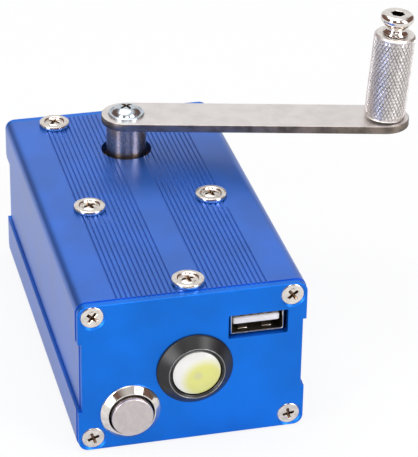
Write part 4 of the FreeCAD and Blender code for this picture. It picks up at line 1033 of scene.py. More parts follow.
@dataclass
class Case:
    """Grooved upper shell and plain lower shell, closed by a drilled plate at each end."""

    side_wall: float = 2.8
    floor_wall: float = 2.5
    corner_round: float = 2.6
    band_depth: float = 0.8
    upper_ledge_drop: float = 10.0
    ledge_round: float = 0.25
    seam_open: float = 0.35
    tongue: float = 1.0
    lap_gap: float = 0.05
    boss: float = 2.4
    boss_hole: float = 1.55
    rail_thick: float = 1.0
    rail_reach: float = 1.2
    groove_count: int = 13
    groove_first: float = 3.6
    groove_pitch: float = 1.15
    groove_width: float = 0.55
    groove_depth: float = 0.2
    groove_chords: int = 8
    hole_edge: float = 0.12
    top_through: float = 4.0
    plate_through: float = 3.0
    screw_hole: float = 2.2
    shaft_hole: float = 6.25
    sink: float = 2.95
    sink_edge: float = 0.1
    shank_hole: float = 1.7
    lamp_hole: float = 8.08
    button_hole: float = 6.08
    socket_wide: float = 14.1
    socket_tall: float = 6.1
    socket_corner: float = 0.35
    plate_edge: float = 0.24

    def __post_init__(self) -> None:
        """Read the case's levels and its screws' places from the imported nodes, in millimetres."""
        low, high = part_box("upper_shell")
        self.front, self.back = low.y / MM, high.y / MM
        self.half, self.top = high.x / MM, high.z / MM
        self.tongue_foot = low.z / MM
        self.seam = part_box("lower_shell")[1].z / MM
        self.ledge = self.top - self.upper_ledge_drop
        self.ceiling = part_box("gearbox_top_plate")[1].z / MM
        self.rail_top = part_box("circuit_board")[0].z / MM
        self.inner = self.half - self.side_wall
        low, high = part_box("front_plate_screws")
        self.screw_x = high.x / MM - Screws.end_head
        self.screw_low = low.z / MM + Screws.end_head
        self.screw_high = high.z / MM - Screws.end_head

    def build(self) -> None:
        """Build and dress the shells and the plates."""
        self.build_upper_shell()
        self.build_lower_shell()
        self.build_front_plate()
        self.build_rear_plate()

    def bar(
        self, name: str, half: Sequence[Corner], front: float, back: float
    ) -> bpy.types.Object:
        """Pull a mirrored outline from front to back.

        Args:
            name: The new piece's name.
            half: Right half of the outline in X and Z, in millimetres.
            front: Where it starts along Y, in millimetres.
            back: Where it ends.

        Returns:
            The solid.
        """
        whole = [*half, *((-x, z) for x, z in reversed(half))]
        corners = [Vector((x * MM, front * MM, z * MM)) for x, z in whole]
        return Bench.pulled(name, corners, Vector((0, (back - front) * MM, 0)))

    def boss_arc(self, wall: float, level: float, up: int) -> list[Corner]:
        """The part of a screw channel that stands out of a corner of the cavity.

        Args:
            wall: The side wall's inner face.
            level: The ceiling or the floor.
            up: 1 for the upper shell, -1 for the lower one.

        Returns:
            Points from the ceiling or floor to the wall.
        """
        centre = (self.screw_x, self.screw_high if up > 0 else self.screw_low)
        start = 180 - math.degrees(math.asin(abs(level - centre[1]) / self.boss))
        end = 360 - math.degrees(math.acos((wall - centre[0]) / self.boss))
        return arc(centre, self.boss, up * start, up * end, 14)

    def grooves(self) -> list[Corner]:
        """Rounded grooves along the right half of the top, from the middle outwards."""
        points = []
        for order in range(self.groove_count):
            middle_x = self.groove_first + order * self.groove_pitch
            for step in range(self.groove_chords + 1):
                share = step / self.groove_chords - 0.5
                sunk = self.groove_depth * (1 + math.cos(FULL_TURN * share)) / 2
                points.append((middle_x + self.groove_width * share, self.top - sunk))
        return points

    def build_upper_shell(self) -> None:
        """Grooved top, recessed side bands, tongues, card rails and screw channels."""
        half, inner, edge = self.half, self.inner, self.ledge_round
        band = half - self.band_depth
        foot = self.seam + self.seam_open
        rail = inner - self.rail_reach
        outline = [
            *self.grooves(),
            *arc((half - self.corner_round, self.top - self.corner_round), self.corner_round,
                 90, 0, 12),
            *arc((half - edge, self.ledge + edge), edge, 0, -90, 3),
            (band, self.ledge), (band, foot), (inner + self.tongue, foot),
            (inner + self.tongue, self.tongue_foot), (inner, self.tongue_foot),
            (inner, self.rail_top - self.rail_thick), (rail, self.rail_top - self.rail_thick),
            (rail, self.rail_top), (inner, self.rail_top),
            *reversed(self.boss_arc(inner, self.ceiling, 1)),
        ]
        piece = self.bar("upper_shell_finished", outline, self.front, self.back)
        for spot in (
            middle("board_screw"), *Screws.spots("gearbox_top_screws", Screws.top_head)
        ):
            self.drill_down(piece, spot, self.screw_hole)
        self.drill_down(piece, middle("crank_shaft"), self.shaft_hole)
        self.drill_bosses(piece, self.screw_high)
        Bench.smooth(piece)
        hand_over(piece, Body.CASE, BLUE_SHELL, "blue_aluminium", "upper_shell")

    def build_lower_shell(self) -> None:
        """Floor and side walls with a lap for the upper shell's tongues."""
        half, inner, edge = self.half, self.inner, self.ledge_round
        lap = inner + self.tongue + self.lap_gap
        outline = [
            *self.boss_arc(inner, self.floor_wall, -1),
            (inner, self.tongue_foot), (lap, self.tongue_foot), (lap, self.seam),
            *arc((half - edge, self.seam - edge), edge, 90, 0, 3),
            *arc((half - self.corner_round, self.corner_round), self.corner_round, 0, -90, 12),
        ]
        piece = self.bar("lower_shell_finished", outline, self.front, self.back)
        self.drill_bosses(piece, self.screw_low)
        Bench.smooth(piece)
        hand_over(piece, Body.CASE, BLUE_SHELL, "blue_aluminium", "lower_shell")

    def drill_down(self, piece: bpy.types.Object, spot: Vector, radius: float) -> None:
        """Drill through the top and break the hole's edge."""
        section = [
            (radius + self.hole_edge, 0), (radius, -self.hole_edge), (radius, -self.top_through),
        ]
        Bench.drill(piece, section, Matrix.Translation((spot.x, spot.y, self.top * MM)))

    def drill_bosses(self, piece: bpy.types.Object, level: float) -> None:
        """Drill both screw channels from end to end."""
        section = [(self.boss_hole, 0), (self.boss_hole, self.front - self.back - CLEAR)]
        for side in (-1, 1):
            place = out_of_plate(side * self.screw_x * MM, self.front * MM, level * MM)
            Bench.drill(piece, section, place, 24)

    def blank(self, name: str, node: str) -> bpy.types.Object:
        """End plate before drilling, notched along the side bands, its outer edges broken.

        Args:
            name: The new piece's name.
            node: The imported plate.

        Returns:
            The plate.
        """
        low, high = (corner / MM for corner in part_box(node))
        notch = high.x - self.band_depth
        turn = self.corner_round - (self.half - high.x)
        outline = [
            *arc((high.x - turn, high.z - turn), turn, 90, 0, 10),
            (high.x, self.ledge), (notch, self.ledge), (notch, self.seam), (high.x, self.seam),
            *arc((high.x - turn, low.z + turn), turn, 0, -90, 10),
        ]
        piece = self.bar(name, outline, low.y, high.y)
        outer = (low.y if low.y < 0 else high.y) * MM
        Bench.bevel(piece, self.plate_edge * MM, 3, lambda here, there: (
            abs(here.y - outer) < TINY and abs(there.y - outer) < TINY
        ))
        return piece

    def sink_screws(self, piece: bpy.types.Object, outer: float, way: int) -> None:
        """Countersink the four screw holes of a plate."""
        depth = self.sink - self.shank_hole + self.sink_edge
        section = [
            (self.sink + self.sink_edge, 0), (self.sink, -self.sink_edge),
            (self.shank_hole, -depth), (self.shank_hole, -self.plate_through),
        ]
        for side in (-1, 1):
            for level in (self.screw_low, self.screw_high):
                place = out_of_plate(side * self.screw_x * MM, outer, level * MM, way)
                Bench.drill(piece, section, place)

    def build_front_plate(self) -> None:
        """Plate with the lamp's, the button's and the socket's openings."""
        piece = self.blank("front_plate_finished", "front_plate")
        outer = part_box("front_plate")[0].y
        self.sink_screws(piece, outer, 1)
        for node, radius in (
            ("lamp_housing", self.lamp_hole), ("button_housing", self.button_hole)
        ):
            spot = middle(node)
            section = [(radius, 0), (radius, -self.plate_through)]
            Bench.drill(piece, section, out_of_plate(spot.x, outer, spot.z), 72)
        spot = middle("usb_shell") / MM
        wide = self.socket_wide / 2 - self.socket_corner
        tall = self.socket_tall / 2 - self.socket_corner
        outline = []
        for side_x, side_z, start in ((1, 1, 0), (-1, 1, 90), (-1, -1, 180), (1, -1, 270)):
            centre = (spot.x + side_x * wide, spot.z + side_z * tall)
            outline += arc(centre, self.socket_corner, start, start + 90, 4)
        corners = [Vector((x * MM, outer - CLEAR * MM, z * MM)) for x, z in outline]
        pull = Vector((0, (self.plate_through + CLEAR) * MM, 0))
        Bench.cut(piece, Bench.pulled("socket_cutter", corners, pull))
        Bench.smooth(piece)
        hand_over(piece, Body.CASE, BLUE_PLATE, "blue_aluminium", "front_plate")

    def build_rear_plate(self) -> None:
        """Plain plate with its four screw holes."""
        piece = self.blank("rear_plate_finished", "rear_plate")
        self.sink_screws(piece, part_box("rear_plate")[1].y, -1)
        Bench.smooth(piece)
        hand_over(piece, Body.CASE, BLUE_PLATE, "blue_aluminium", "rear_plate")


# Screws


@dataclass
class CrossRecess:
    """Tapered cross-shaped tool that sinks the recess in a screw's head."""

    reach: float
    wing: float
    depth: float
    taper: float = 0.55
    above: float = 0.6

    def tool(self, crown: float) -> bpy.types.Object:
        """Build the tool with its wings pulled out of a block.

        Args:
            crown: Height of the head's crown, in millimetres.

        Returns:
            The cutting tool.
        """
        tall = self.depth + self.above
        tool = Bench.block(
            "cross_tool", Vector((0, 0, crown + self.above - tall / 2)) * MM,
            Vector((self.wing, self.wing, tall)) * MM,
        )
        pull = (self.reach - self.wing / 2) * MM
        for way in (Vector((1, 0, 0)), Vector((-1, 0, 0)), Vector((0, 1, 0)), Vector((0, -1, 0))):
            Bench.pick(tool, Item.FACE, lambda face: (
                face.normal.dot(way) > 0.9 and abs(face.center.cross(way).z) < TINY
            ))
            with Bench.editing(tool, Item.FACE):
                bpy.ops.mesh.extrude_region_move(TRANSFORM_OT_translate={"value": way * pull})
        Bench.pick(tool, Item.FACE, lambda face: face.normal.z < -0.9)
        with Bench.editing(tool, Item.FACE):
            bpy.ops.transform.resize(value=(self.taper, self.taper, 1), center_override=(0, 0, 0))
        return tool


@dataclass
class Screw:
    """A cross-head screw that is modelled once and copied to its places."""

    head: Sequence[Corner]
    recess: CrossRecess
    shank_radius: float
    shank_length: float
    thread_pitch: float = 0.7
    thread_root: float = 0.88
    edge: float = 0.06 * MM

    def master(self, finish: Finish) -> bpy.types.Object:
        """Turn the head with its ribbed shank, dress it and sink the recess, darkened as painted
        shade.
        """
        _, level = self.head[-1]
        bottom = -self.shank_length
        turns = int((level - bottom) / self.thread_pitch) - 1
        root = self.shank_radius * self.thread_root
        run = [
            *self.head, (root, level),
            *thread(root, self.shank_radius, self.thread_pitch, level - self.thread_pitch / 2,
                    level - turns * self.thread_pitch),
            (root, bottom + 0.3), (root * 0.8, bottom), (0, bottom),
        ]
        piece = Bench.spun("screw_master", run, 48)
        finish.dress(piece)
        tool = self.recess.tool(self.head[0][1])
        # The recess faces take the tool's dark finish: painted shade.
        RECESS_PAINTED_SHADE.dress(tool)
        Bench.cut(piece, tool)
        Bench.soften(piece, self.edge, 1, 50.0)
        return piece

    def place(
        self, name: str, places: Sequence[Matrix], body: Body, finish: Finish, slot: str,
        *nodes: str,
    ) -> None:
        """Copy the screw to each place and hand the group over as one piece."""
        master = self.master(finish)
        copies = []
        for matrix in places:
            copy = Bench.twin(name, master)
            Bench.stand(copy, matrix)
            copies.append(copy)
        bpy.data.objects.remove(master)
        hand_over(Bench.joined(name, copies), body, None, slot, *nodes)


@dataclass
class Screws:
    """All screws that show in the case: four in each end plate and five in the top."""

    end_head: float = 2.72
    top_head: float = 3.85
    top_height: float = 1.1
    recess_turns: Sequence[float] = (0.35, 0.9, 0.2, 0.65)
    board_recess_turn: float = 0.1

    @staticmethod
    def spots(node: str, head: float) -> list[Vector]:
        """Where the four screws of a group stand in the top.

        Args:
            node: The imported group.
            head: Head radius in millimetres.

        Returns:
            One point a screw, at the height of the group's highest point.
        """
        low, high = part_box(node)
        reach = head * MM
        return [
            Vector((x, y, high.z)) for x in (low.x + reach, high.x - reach)
            for y in (low.y + reach, high.y - reach)
        ]

    def build(self) -> None:
        """Build the countersunk and the domed screws."""
        self.build_end_screws()
        self.build_top_screws()

    def build_end_screws(self) -> None:
        """Countersunk screws, flush in both end plates."""
        radius = self.end_head
        head = [
            (0, 0), (radius * 0.58, 0), (radius * 0.64, -0.1), (radius * 0.70, -0.1),
            (radius * 0.76, -0.02), (radius * 0.92, -0.06), (radius, -0.18), (radius, -0.3),
            (1.5, -1.45),
        ]
        recess = CrossRecess(reach=1.7, wing=0.8, depth=1.15)
        screw = Screw(head, recess, shank_radius=1.5, shank_length=8.0, thread_pitch=0.5)
        for node, way in (("front_plate_screws", 1), ("rear_plate_screws", -1)):
            low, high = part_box(node)
            reach = radius * MM
            front = low.y if way > 0 else high.y
            spots = [(x, z) for x in (low.x + reach, high.x - reach)
                     for z in (low.z + reach, high.z - reach)]
            places = [
                out_of_plate(x, front, z, way) @ Matrix.Rotation(turn, 4, "Z")
                for (x, z), turn in zip(spots, self.recess_turns)
            ]
            screw.place(node + "_finished", places, Body.CASE, NICKEL, "nickel_screw", node)

    def build_top_screws(self) -> None:
        """Screws with a flat rim and a sunk ring, which hold the gearbox and the board."""
        radius = self.top_head
        tall = self.top_height
        head = [
            (0, tall - 0.06), (radius * 0.22, tall - 0.08), (radius * 0.38, tall - 0.17),
            (radius * 0.50, tall - 0.36), (radius * 0.56, tall - 0.46),
            (radius * 0.60, tall - 0.42), (radius * 0.65, tall - 0.10), (radius * 0.69, tall),
            (radius * 0.90, tall - 0.04), (radius * 0.97, tall - 0.14), (radius, tall - 0.36),
            (radius, 0.08), (radius * 0.985, 0), (2.0, 0),
        ]
        recess = CrossRecess(reach=1.95, wing=0.95, depth=1.0)
        screw = Screw(head, recess, shank_radius=2.0, shank_length=10.0)
        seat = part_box("upper_shell")[1].z
        for node, spots, turns in (
            ("gearbox_top_screws", self.spots("gearbox_top_screws", radius), self.recess_turns),
            ("board_screw", [middle("board_screw")], (self.board_recess_turn,)),
        ):
            places = [
                Matrix.Translation((spot.x, spot.y, seat)) @ Matrix.Rotation(turn, 4, "Z")
                for spot, turn in zip(spots, turns)
            ]
            screw.place(node + "_finished", places, Body.CASE, NICKEL, "nickel_screw", node)


# Crank


@dataclass
class Crank:
    """Shaft, flat arm with its screw, the riveted pin and the knurled grip that turns on it."""

    arm_length: float = 64.5
    lean: float = math.radians(4.0)
    shaft_radius: float = 5.0
    spigot_radius: float = 3.5
    spigot_height: float = 1.8
    arm_half: float = 6.25
    arm_edge: float = 0.2 * MM
    arm_through: float = 3.0
    hole_gap: float = 0.05
    head_radius: float = 4.55
    head_height: float = 2.2
    recess_turn: float = 0.5
    pin_radius: float = 2.5
    rivet_radius: float = 1.9
    pin_head_radius: float = 4.15
    pin_head_foot: float = 25.6
    pin_head_height: float = 2.6
    hex_flats: float = 3.0
    hex_depth: float = 1.6
    hex_turn: float = 0.3
    grip_radius: float = 5.15
    grip_bore: float = 2.53
    grip_low: float = 0.45
    grip_length: float = 22.3
    knurls_round: int = 34
    knurl_rows: int = 12
    knurl_depth: float = 0.22
    knurl_slope: float = 0.16
    knurl_gap: float = 0.02
    ring_plain: float = 0.7
    foot_plain: float = 0.35
    rim_step: float = 0.05
    top_chamfer: float = 0.45
    foot_chamfer: float = 0.15

    def __post_init__(self) -> None:
        """Work out where the shaft stands and how the pin leans."""
        shaft = middle("crank_shaft")
        arm_low, arm_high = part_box("crank_arm")
        self.arm_foot = arm_low.z
        self.arm_top = arm_high.z
        self.axis = Vector((shaft.x, shaft.y, 0))
        turn = Matrix.Rotation(ARM_TURN, 4, "Z")
        foot = self.axis + turn @ Vector((self.arm_length * MM, 0, 0))
        foot.z = self.arm_top
        self.pin_frame = Matrix.Translation(foot) @ turn @ Matrix.Rotation(self.lean, 4, "Y")

    def build(self) -> None:
        """Build and dress every piece of the crank."""
        self.build_shaft()
        self.build_arm()
        self.build_arm_screw()
        self.build_pin()
        self.build_grip()

    def build_shaft(self) -> None:
        """Turned shaft with a chamfer below the arm and a spigot in it."""
        low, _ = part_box("crank_shaft")
        foot = low.z / MM
        top = self.arm_foot / MM
        radius = self.shaft_radius
        run = [
            (0, foot), (radius - 0.4, foot), (radius, foot + 0.4), (radius, top - 0.25),
            (radius - 0.25, top), (self.spigot_radius, top),
            (self.spigot_radius, top + self.spigot_height - 0.2),
            (self.spigot_radius - 0.2, top + self.spigot_height), (0, top + self.spigot_height),
        ]
        turn_out("crank_shaft_finished", run, Matrix.Translation(self.axis), Body.CRANK, TURNED,
                 "turned_steel", "crank_shaft")

    def build_arm(self) -> None:
        """Flat bar with round ends, broken edges, a dark sheared rim and a bright rolled face."""
        half = self.arm_half
        outline = [
            *arc((0, 0), half, 90, 270, 32), *arc((self.arm_length, 0), half, -90, 90, 32),
        ]
        piece = Bench.pulled("crank_arm_finished",
                             [Vector((x * MM, y * MM, self.arm_foot)) for x, y in outline],
                             Vector((0, 0, self.arm_top - self.arm_foot)))
        Bench.bevel(piece, self.arm_edge, 3, lambda here, there: abs(here.z - there.z) < TINY)
        for reach, radius in ((0.0, self.spigot_radius), (self.arm_length, self.rivet_radius)):
            hole = radius + self.hole_gap
            place = Matrix.Translation((reach * MM, 0, self.arm_top))
            Bench.drill(piece, [(hole, 0), (hole, -self.arm_through)], place)
        dress_apart(piece, SHEARED, ROLLED, lambda face: face.normal.z > 0.8)
        Bench.stand(piece, Matrix.Translation(self.axis) @ Matrix.Rotation(ARM_TURN, 4, "Z"))
        Bench.smooth(piece)
        hand_over(piece, Body.CRANK, None, "arm_steel", "crank_arm")

    def build_arm_screw(self) -> None:
        """Wide low screw with a flange that holds the arm on the shaft."""
        radius = self.head_radius
        tall = self.head_height
        head = [
            (0, tall), (radius * 0.22, tall - 0.04), (radius * 0.40, tall - 0.2),
            (radius * 0.55, tall - 0.5), (radius * 0.68, tall - 0.92), (radius * 0.77, 0.86),
            (radius * 0.80, 0.56), (radius * 0.82, 0.46), (radius * 0.86, 0.46),
            (radius * 0.88, 0.56), (radius * 0.96, 0.52), (radius, 0.38),
            (radius, 0.05), (radius - 0.05, 0), (2.5, 0),
        ]
        recess = CrossRecess(reach=2.1, wing=0.8, depth=1.3)
        screw = Screw(head, recess, shank_radius=2.5, shank_length=12.0, thread_pitch=0.8)
        place = Matrix.Translation((self.axis.x, self.axis.y, self.arm_top))
        place = place @ Matrix.Rotation(self.recess_turn, 4, "Z")
        screw.place("arm_screw_finished", [place], Body.CRANK, ZINC, "zinc_screw", "arm_screw")

    def build_pin(self) -> None:
        """Riveted pin with a hollow neck, a ball-edged head and a hexagon socket."""
        radius = self.pin_radius
        foot = self.pin_head_foot
        half = self.pin_head_height / 2
        wide = self.pin_head_radius - half
        run = [
            (0, -1.95), (self.rivet_radius - 0.2, -1.95), (self.rivet_radius, -1.75),
            (self.rivet_radius, 0.25), (radius, 0.45), (radius, foot - 2.75),
            (radius + 0.75, foot - 2.55), (radius + 0.7, foot - 2.35), (radius + 0.1, foot - 1.9),
            (radius - 0.12, foot - 1.4), (radius - 0.1, foot - 1.0), (radius + 0.25, foot - 0.55),
            (radius + 0.9, foot - 0.18), *arc((wide, foot + half), half, -90, 90, 12),
            (1.95, foot + 2 * half - 0.05),
            (1.75, foot + 2 * half - 0.15), (0, foot + 2 * half - 0.15),
        ]
        piece = Bench.spun("grip_pin_finished", run, 96)
        Bench.clear()
        bpy.ops.mesh.primitive_cylinder_add(
            vertices=6, radius=self.hex_flats * MM / math.sqrt(3), depth=2 * self.hex_depth * MM,
            location=(0, 0, (foot + 2 * half) * MM), rotation=(0, 0, self.hex_turn),
        )
        tool = bpy.context.object
        Bench.settle(tool)
        POLISHED.dress(piece)
        # The hexagon socket's faces take near black: painted shade.
        HEX_SOCKET_PAINTED_SHADE.dress(tool)
        Bench.cut(piece, tool)
        Bench.soften(piece, 0.05 * MM, 1, 50.0)
        Bench.stand(piece, self.pin_frame)
        hand_over(piece, Body.CRANK, None, "polished_steel", "grip_pin")

    def build_grip(self) -> None:
        """Tube with a diamond knurl, chamfered ends and a bore for the pin."""
        low = self.grip_low
        high = low + self.grip_length
        flank = self.grip_radius - self.knurl_depth - self.knurl_gap
        piece = self.knurled_band(low, high, flank)
        self.close_grip(piece, low, high, flank)
        for face in piece.data.polygons:
            spot = face.center
            if math.hypot(spot.x, spot.y) < (flank - 0.05) * MM or self.in_ring(spot.z, low, high):
                face.material_index = 1
        Bench.stand(piece, self.pin_frame)
        hand_over(piece, Body.GRIP, None, "knurled_steel", "grip")

    def knurled_band(self, low: float, high: float, flank: float) -> bpy.types.Object:
        """Tube of raised diamonds, open at both ends.

        A grid of four-sided faces is poked in their middles and loses its first edges, which
        leaves diamonds. Each diamond is then inset and raised.

        Args:
            low: Height of the grip's foot, in millimetres.
            high: Height of its top.
            flank: Radius at the bottom of the grooves.

        Returns:
            The band, with a darker finish in the grooves as painted shade and a bright one on the
            diamonds.
        """
        foot = low + self.foot_plain
        band = self.grip_length - self.ring_plain - self.foot_plain
        Bench.clear()
        bpy.ops.mesh.primitive_cylinder_add(
            vertices=self.knurls_round, radius=flank * MM, depth=band * MM,
            location=(0, 0, (foot + band / 2) * MM), end_fill_type="NOTHING",
        )
        piece = bpy.context.object
        piece.name = "grip_finished"
        Bench.settle(piece)
        with Bench.editing(piece):
            for row in range(1, self.knurl_rows):
                bpy.ops.mesh.select_all(action="SELECT")
                level = foot + band * row / self.knurl_rows
                bpy.ops.mesh.bisect(plane_co=(0, 0, level * MM), plane_no=(0, 0, 1))
        sag = flank * (1 - math.cos(math.pi / self.knurls_round)) * MM
        first_edges = {
            self.edge_key(piece, edge) for edge in piece.data.edges
            if not self.on_end(piece, edge, low, high)
        }
        with Bench.editing(piece, Item.FACE):
            bpy.ops.mesh.select_all(action="SELECT")
            bpy.ops.mesh.poke(offset=sag)
        Bench.pick(piece, Item.EDGE, lambda edge: self.edge_key(piece, edge) in first_edges)
        with Bench.editing(piece, Item.EDGE):
            bpy.ops.mesh.dissolve_edges(use_verts=False)
        Bench.pick(piece, Item.FACE, lambda face: len(face.vertices) == 4)
        with Bench.editing(piece, Item.FACE):
            bpy.ops.mesh.inset(
                thickness=self.knurl_slope * MM, depth=self.knurl_depth * MM, use_individual=True
            )
        # Grooves take the darker finish as painted shade; the inset diamond tops take bright steel.
        dress_apart(piece, KNURL_GROOVE_PAINTED_SHADE, KNURLED, lambda face: face.select)
        return piece

    def in_ring(self, level: float, low: float, high: float) -> bool:
        """Whether a height lies in the plain ring at either end of the grip."""
        return not (low + self.foot_plain) * MM < level < (high - self.ring_plain) * MM

    def edge_key(
        self, piece: bpy.types.Object, edge: bpy.types.MeshEdge
    ) -> tuple[tuple[int, ...], ...]:
        """The edge's two ends as whole micrometres, to find it again after an operator."""
        ends = [piece.data.vertices[index].co for index in edge.vertices]
        return tuple(sorted(tuple(round(part * 1e6) for part in end) for end in ends))

    def on_end(
        self, piece: bpy.types.Object, edge: bpy.types.MeshEdge, low: float, high: float
    ) -> bool:
        """Whether an edge lies in the rim at either end of the knurled band."""
        levels = [piece.data.vertices[index].co.z for index in edge.vertices]
        rims = ((low + self.foot_plain) * MM, (high - self.ring_plain) * MM)
        return any(all(abs(level - rim) < 10 * TINY for level in levels) for rim in rims)

    def close_grip(
        self, piece: bpy.types.Object, low: float, high: float, flank: float
    ) -> None:
        """Pull the band's open rims into chamfers, end faces and the bore."""
        bore = self.grip_bore
        wall = self.grip_radius - self.rim_step
        for start, end, step, chamfer in (
            (high - self.ring_plain, high, 1, self.top_chamfer),
            (low + self.foot_plain, low, -1, self.foot_chamfer),
        ):
            Bench.pick(piece, Item.POINT, lambda point: (
                abs(point.co.z - start * MM) < 10 * TINY
                and math.hypot(point.co.x, point.co.y) < (flank + 0.05) * MM
            ))
            ring = [
                (wall, start + step * 0.15), (wall, end - step * chamfer),
                (self.grip_radius - chamfer, end), (bore + 0.55, end),
                (bore + 0.05, end - step * 0.5), (bore, end - step * 0.6),
                (bore, (low + high) / 2),
            ]
            with Bench.editing(piece):
                radius = flank
                level = start
                for wide, tall in ring:
                    bpy.ops.mesh.extrude_region_move(
                        TRANSFORM_OT_translate={"value": (0, 0, (tall - level) * MM)}
                    )
                    share = wide / radius
                    bpy.ops.transform.resize(value=(share, share, 1), center_override=(0, 0, 0))
                    radius, level = wide, tall
        with Bench.editing(piece):
            bpy.ops.mesh.select_all(action="SELECT")
            bpy.ops.mesh.remove_doubles(threshold=TINY)
            bpy.ops.mesh.normals_make_consistent(inside=False)
        Bench.smooth(piece, 25.0)


# Front panel


@dataclass
class Lamp:
    """Black bezel with a bright lip, the dome that shows the phosphor, the emitter behind it."""

    bezel: float = 9.05
    lip: float = 6.62
    bore: float = 6.0
    proud: float = 2.6
    lens_radius: float = 5.6
    lens_wall: float = 2.2
    lens_crown: float = 3.4
    lens_foot: float = -2.6
    lens_shoulder: float = -1.4
    floor: float = -4.0
    thread: float = 8.0
    thread_pitch: float = 1.0
    thread_start: float = -2.2
    depth: float = 17.0
    lip_wire: float = 0.11

    def __post_init__(self) -> None:
        """Work out the lamp's axis on the front plate."""
        spot = middle("lamp_housing")
        self.centre = (spot.x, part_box("front_plate")[0].y, spot.z)
        self.frame = out_of_plate(*self.centre)

    def build(self) -> None:
        """Build and dress the lamp's visible pieces."""
        self.build_bezel()
        self.build_lip()
        self.build_lens()
        self.build_emitter()

    def build_bezel(self) -> None:
        """Cone bezel on a threaded barrel."""
        run = [
            (self.bore, self.floor), (self.bore, self.proud - 0.45),
            (self.lip - 0.25, self.proud - 0.1), (self.lip - 0.15, self.proud - 0.2),
            (self.lip + 0.12, self.proud - 0.2), (self.lip + 0.2, self.proud - 0.08),
            (self.lip + 0.35, self.proud - 0.2),
            (self.bezel - 0.3, 0.62), (self.bezel - 0.05, 0.4), (self.bezel, 0.2),
            (self.bezel, 0.0), (self.thread, 0.0),
            *thread(self.thread - 0.35, self.thread, self.thread_pitch, self.thread_start,
                    1 - self.depth),
            (self.thread - 0.4, -self.depth), (4.0, -self.depth), (4.0, self.floor),
        ]
        turn_out("lamp_bezel", run, self.frame, Body.CASE, BLACK_ALUMINIUM, "black_aluminium",
                 "lamp_housing", sharp=35.0)

    def build_lip(self) -> None:
        """Thin bright ring where the bezel's edge is turned back to bare metal."""
        run = arc((self.lip - 0.04, self.proud - 0.14), self.lip_wire, 0, 324, 9)
        turn_out("lamp_lip_ring", run, self.frame, Body.CASE, LIP_METAL, "socket_nickel",
                 sharp=60.0)

    def build_lens(self) -> None:
        """Dome on a straight wall, with a flat back and a flange in the barrel."""
        rise = self.lens_crown - self.lens_wall
        ball = (self.lens_radius**2 + rise**2) / (2 * rise)
        edge = math.degrees(math.acos(self.lens_radius / ball))
        flange = self.bore - 0.05
        run = [
            (0, self.lens_foot), (flange, self.lens_foot), (flange, self.lens_shoulder),
            (self.lens_radius, self.lens_shoulder),
            *arc((0, self.lens_crown - ball), ball, edge, 90, 12)[:-1], (0, self.lens_crown),
        ]
        finish = PhosphorDome("phosphor_dome", (0.64, 0.63, 0.17), centre=self.centre)
        turn_out("lamp_lens_finished", run, self.frame, Body.CASE, finish, "lens", "lamp_lens",
                 steps=72, sharp=30.0)

    def build_emitter(self) -> None:
        """Round board filled with phosphor, dished towards the lens."""
        run = [
            (0, self.floor), (self.bore - 0.2, self.floor), (self.bore - 0.2, self.floor + 1.3),
            (self.bore - 0.5, self.floor + 1.3), (4.6, self.floor + 0.95),
            (2.6, self.floor + 0.85), (2.3, self.floor + 1.2), (0, self.floor + 1.25),
        ]
        finish = Phosphor("phosphor", (0.74, 0.78, 0.22), 0.5, centre=self.centre)
        turn_out("lamp_emitter_finished", run, self.frame, Body.CASE, finish, "phosphor",
                 "lamp_emitter", steps=72, sharp=30.0)


@dataclass
class Button:
    """Polished cone bezel with a threaded barrel and a proud flat cap."""

    bezel: float = 7.15
    lip: float = 5.7
    bore: float = 5.25
    proud: float = 1.7
    thread: float = 6.0
    thread_pitch: float = 0.75
    thread_start: float = -2.2
    depth: float = 16.0
    cap: float = 4.9
    cap_proud: float = 2.9
    cap_height: float = 6.0
    cap_round: float = 0.35
    stem: float = 1.4

    def __post_init__(self) -> None:
        """Work out the button's axis on the front plate."""
        spot = middle("button_housing")
        self.centre = (spot.x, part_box("front_plate")[0].y, spot.z)
        self.frame = out_of_plate(*self.centre)

    def build(self) -> None:
        """Build and dress the bezel and the cap."""
        self.build_bezel()
        self.build_cap()

    def build_bezel(self) -> None:
        """Cone bezel on a threaded barrel with a floor."""
        run = [
            (self.bore, 1 - self.depth), (self.bore, self.proud - 0.35),
            (self.bore + 0.15, self.proud - 0.1), (self.lip - 0.25, self.proud),
            (self.lip, self.proud - 0.03), (self.bezel - 0.25, 0.55), (self.bezel - 0.05, 0.35),
            (self.bezel, 0.2), (self.bezel, 0.0), (self.thread, 0.0),
            *thread(self.thread - 0.3, self.thread, self.thread_pitch, self.thread_start,
                    1 - self.depth),
            (self.thread - 0.3, -self.depth), (1.5, -self.depth), (1.5, 1 - self.depth),
        ]
        turn_out("button_bezel", run, self.frame, Body.CASE, POLISHED, "polished_steel",
                 "button_housing", sharp=28.0)

    def build_cap(self) -> None:
        """Flat cap with a rounded rim, on its stem."""
        top = self.cap_proud
        foot = top - self.cap_height
        tail = 1.6 - self.depth
        edge = self.cap_round
        run = [
            (0, top - 0.05), (self.cap - 0.75, top - 0.05), (self.cap - 0.5, top),
            *arc((self.cap - edge, top - edge), edge, 90, 0, 5),
            (self.cap, foot + 0.2), (self.cap - 0.2, foot), (self.stem, foot), (self.stem, tail),
            (0, tail),
        ]
        finish = FacedMetal("satin_cap", (0.71, 0.64, 0.62), centre=self.centre)
        turn_out("button_cap_finished", run, self.frame, Body.BUTTON, finish, "satin_cap",
                 "button_cap", sharp=28.0)


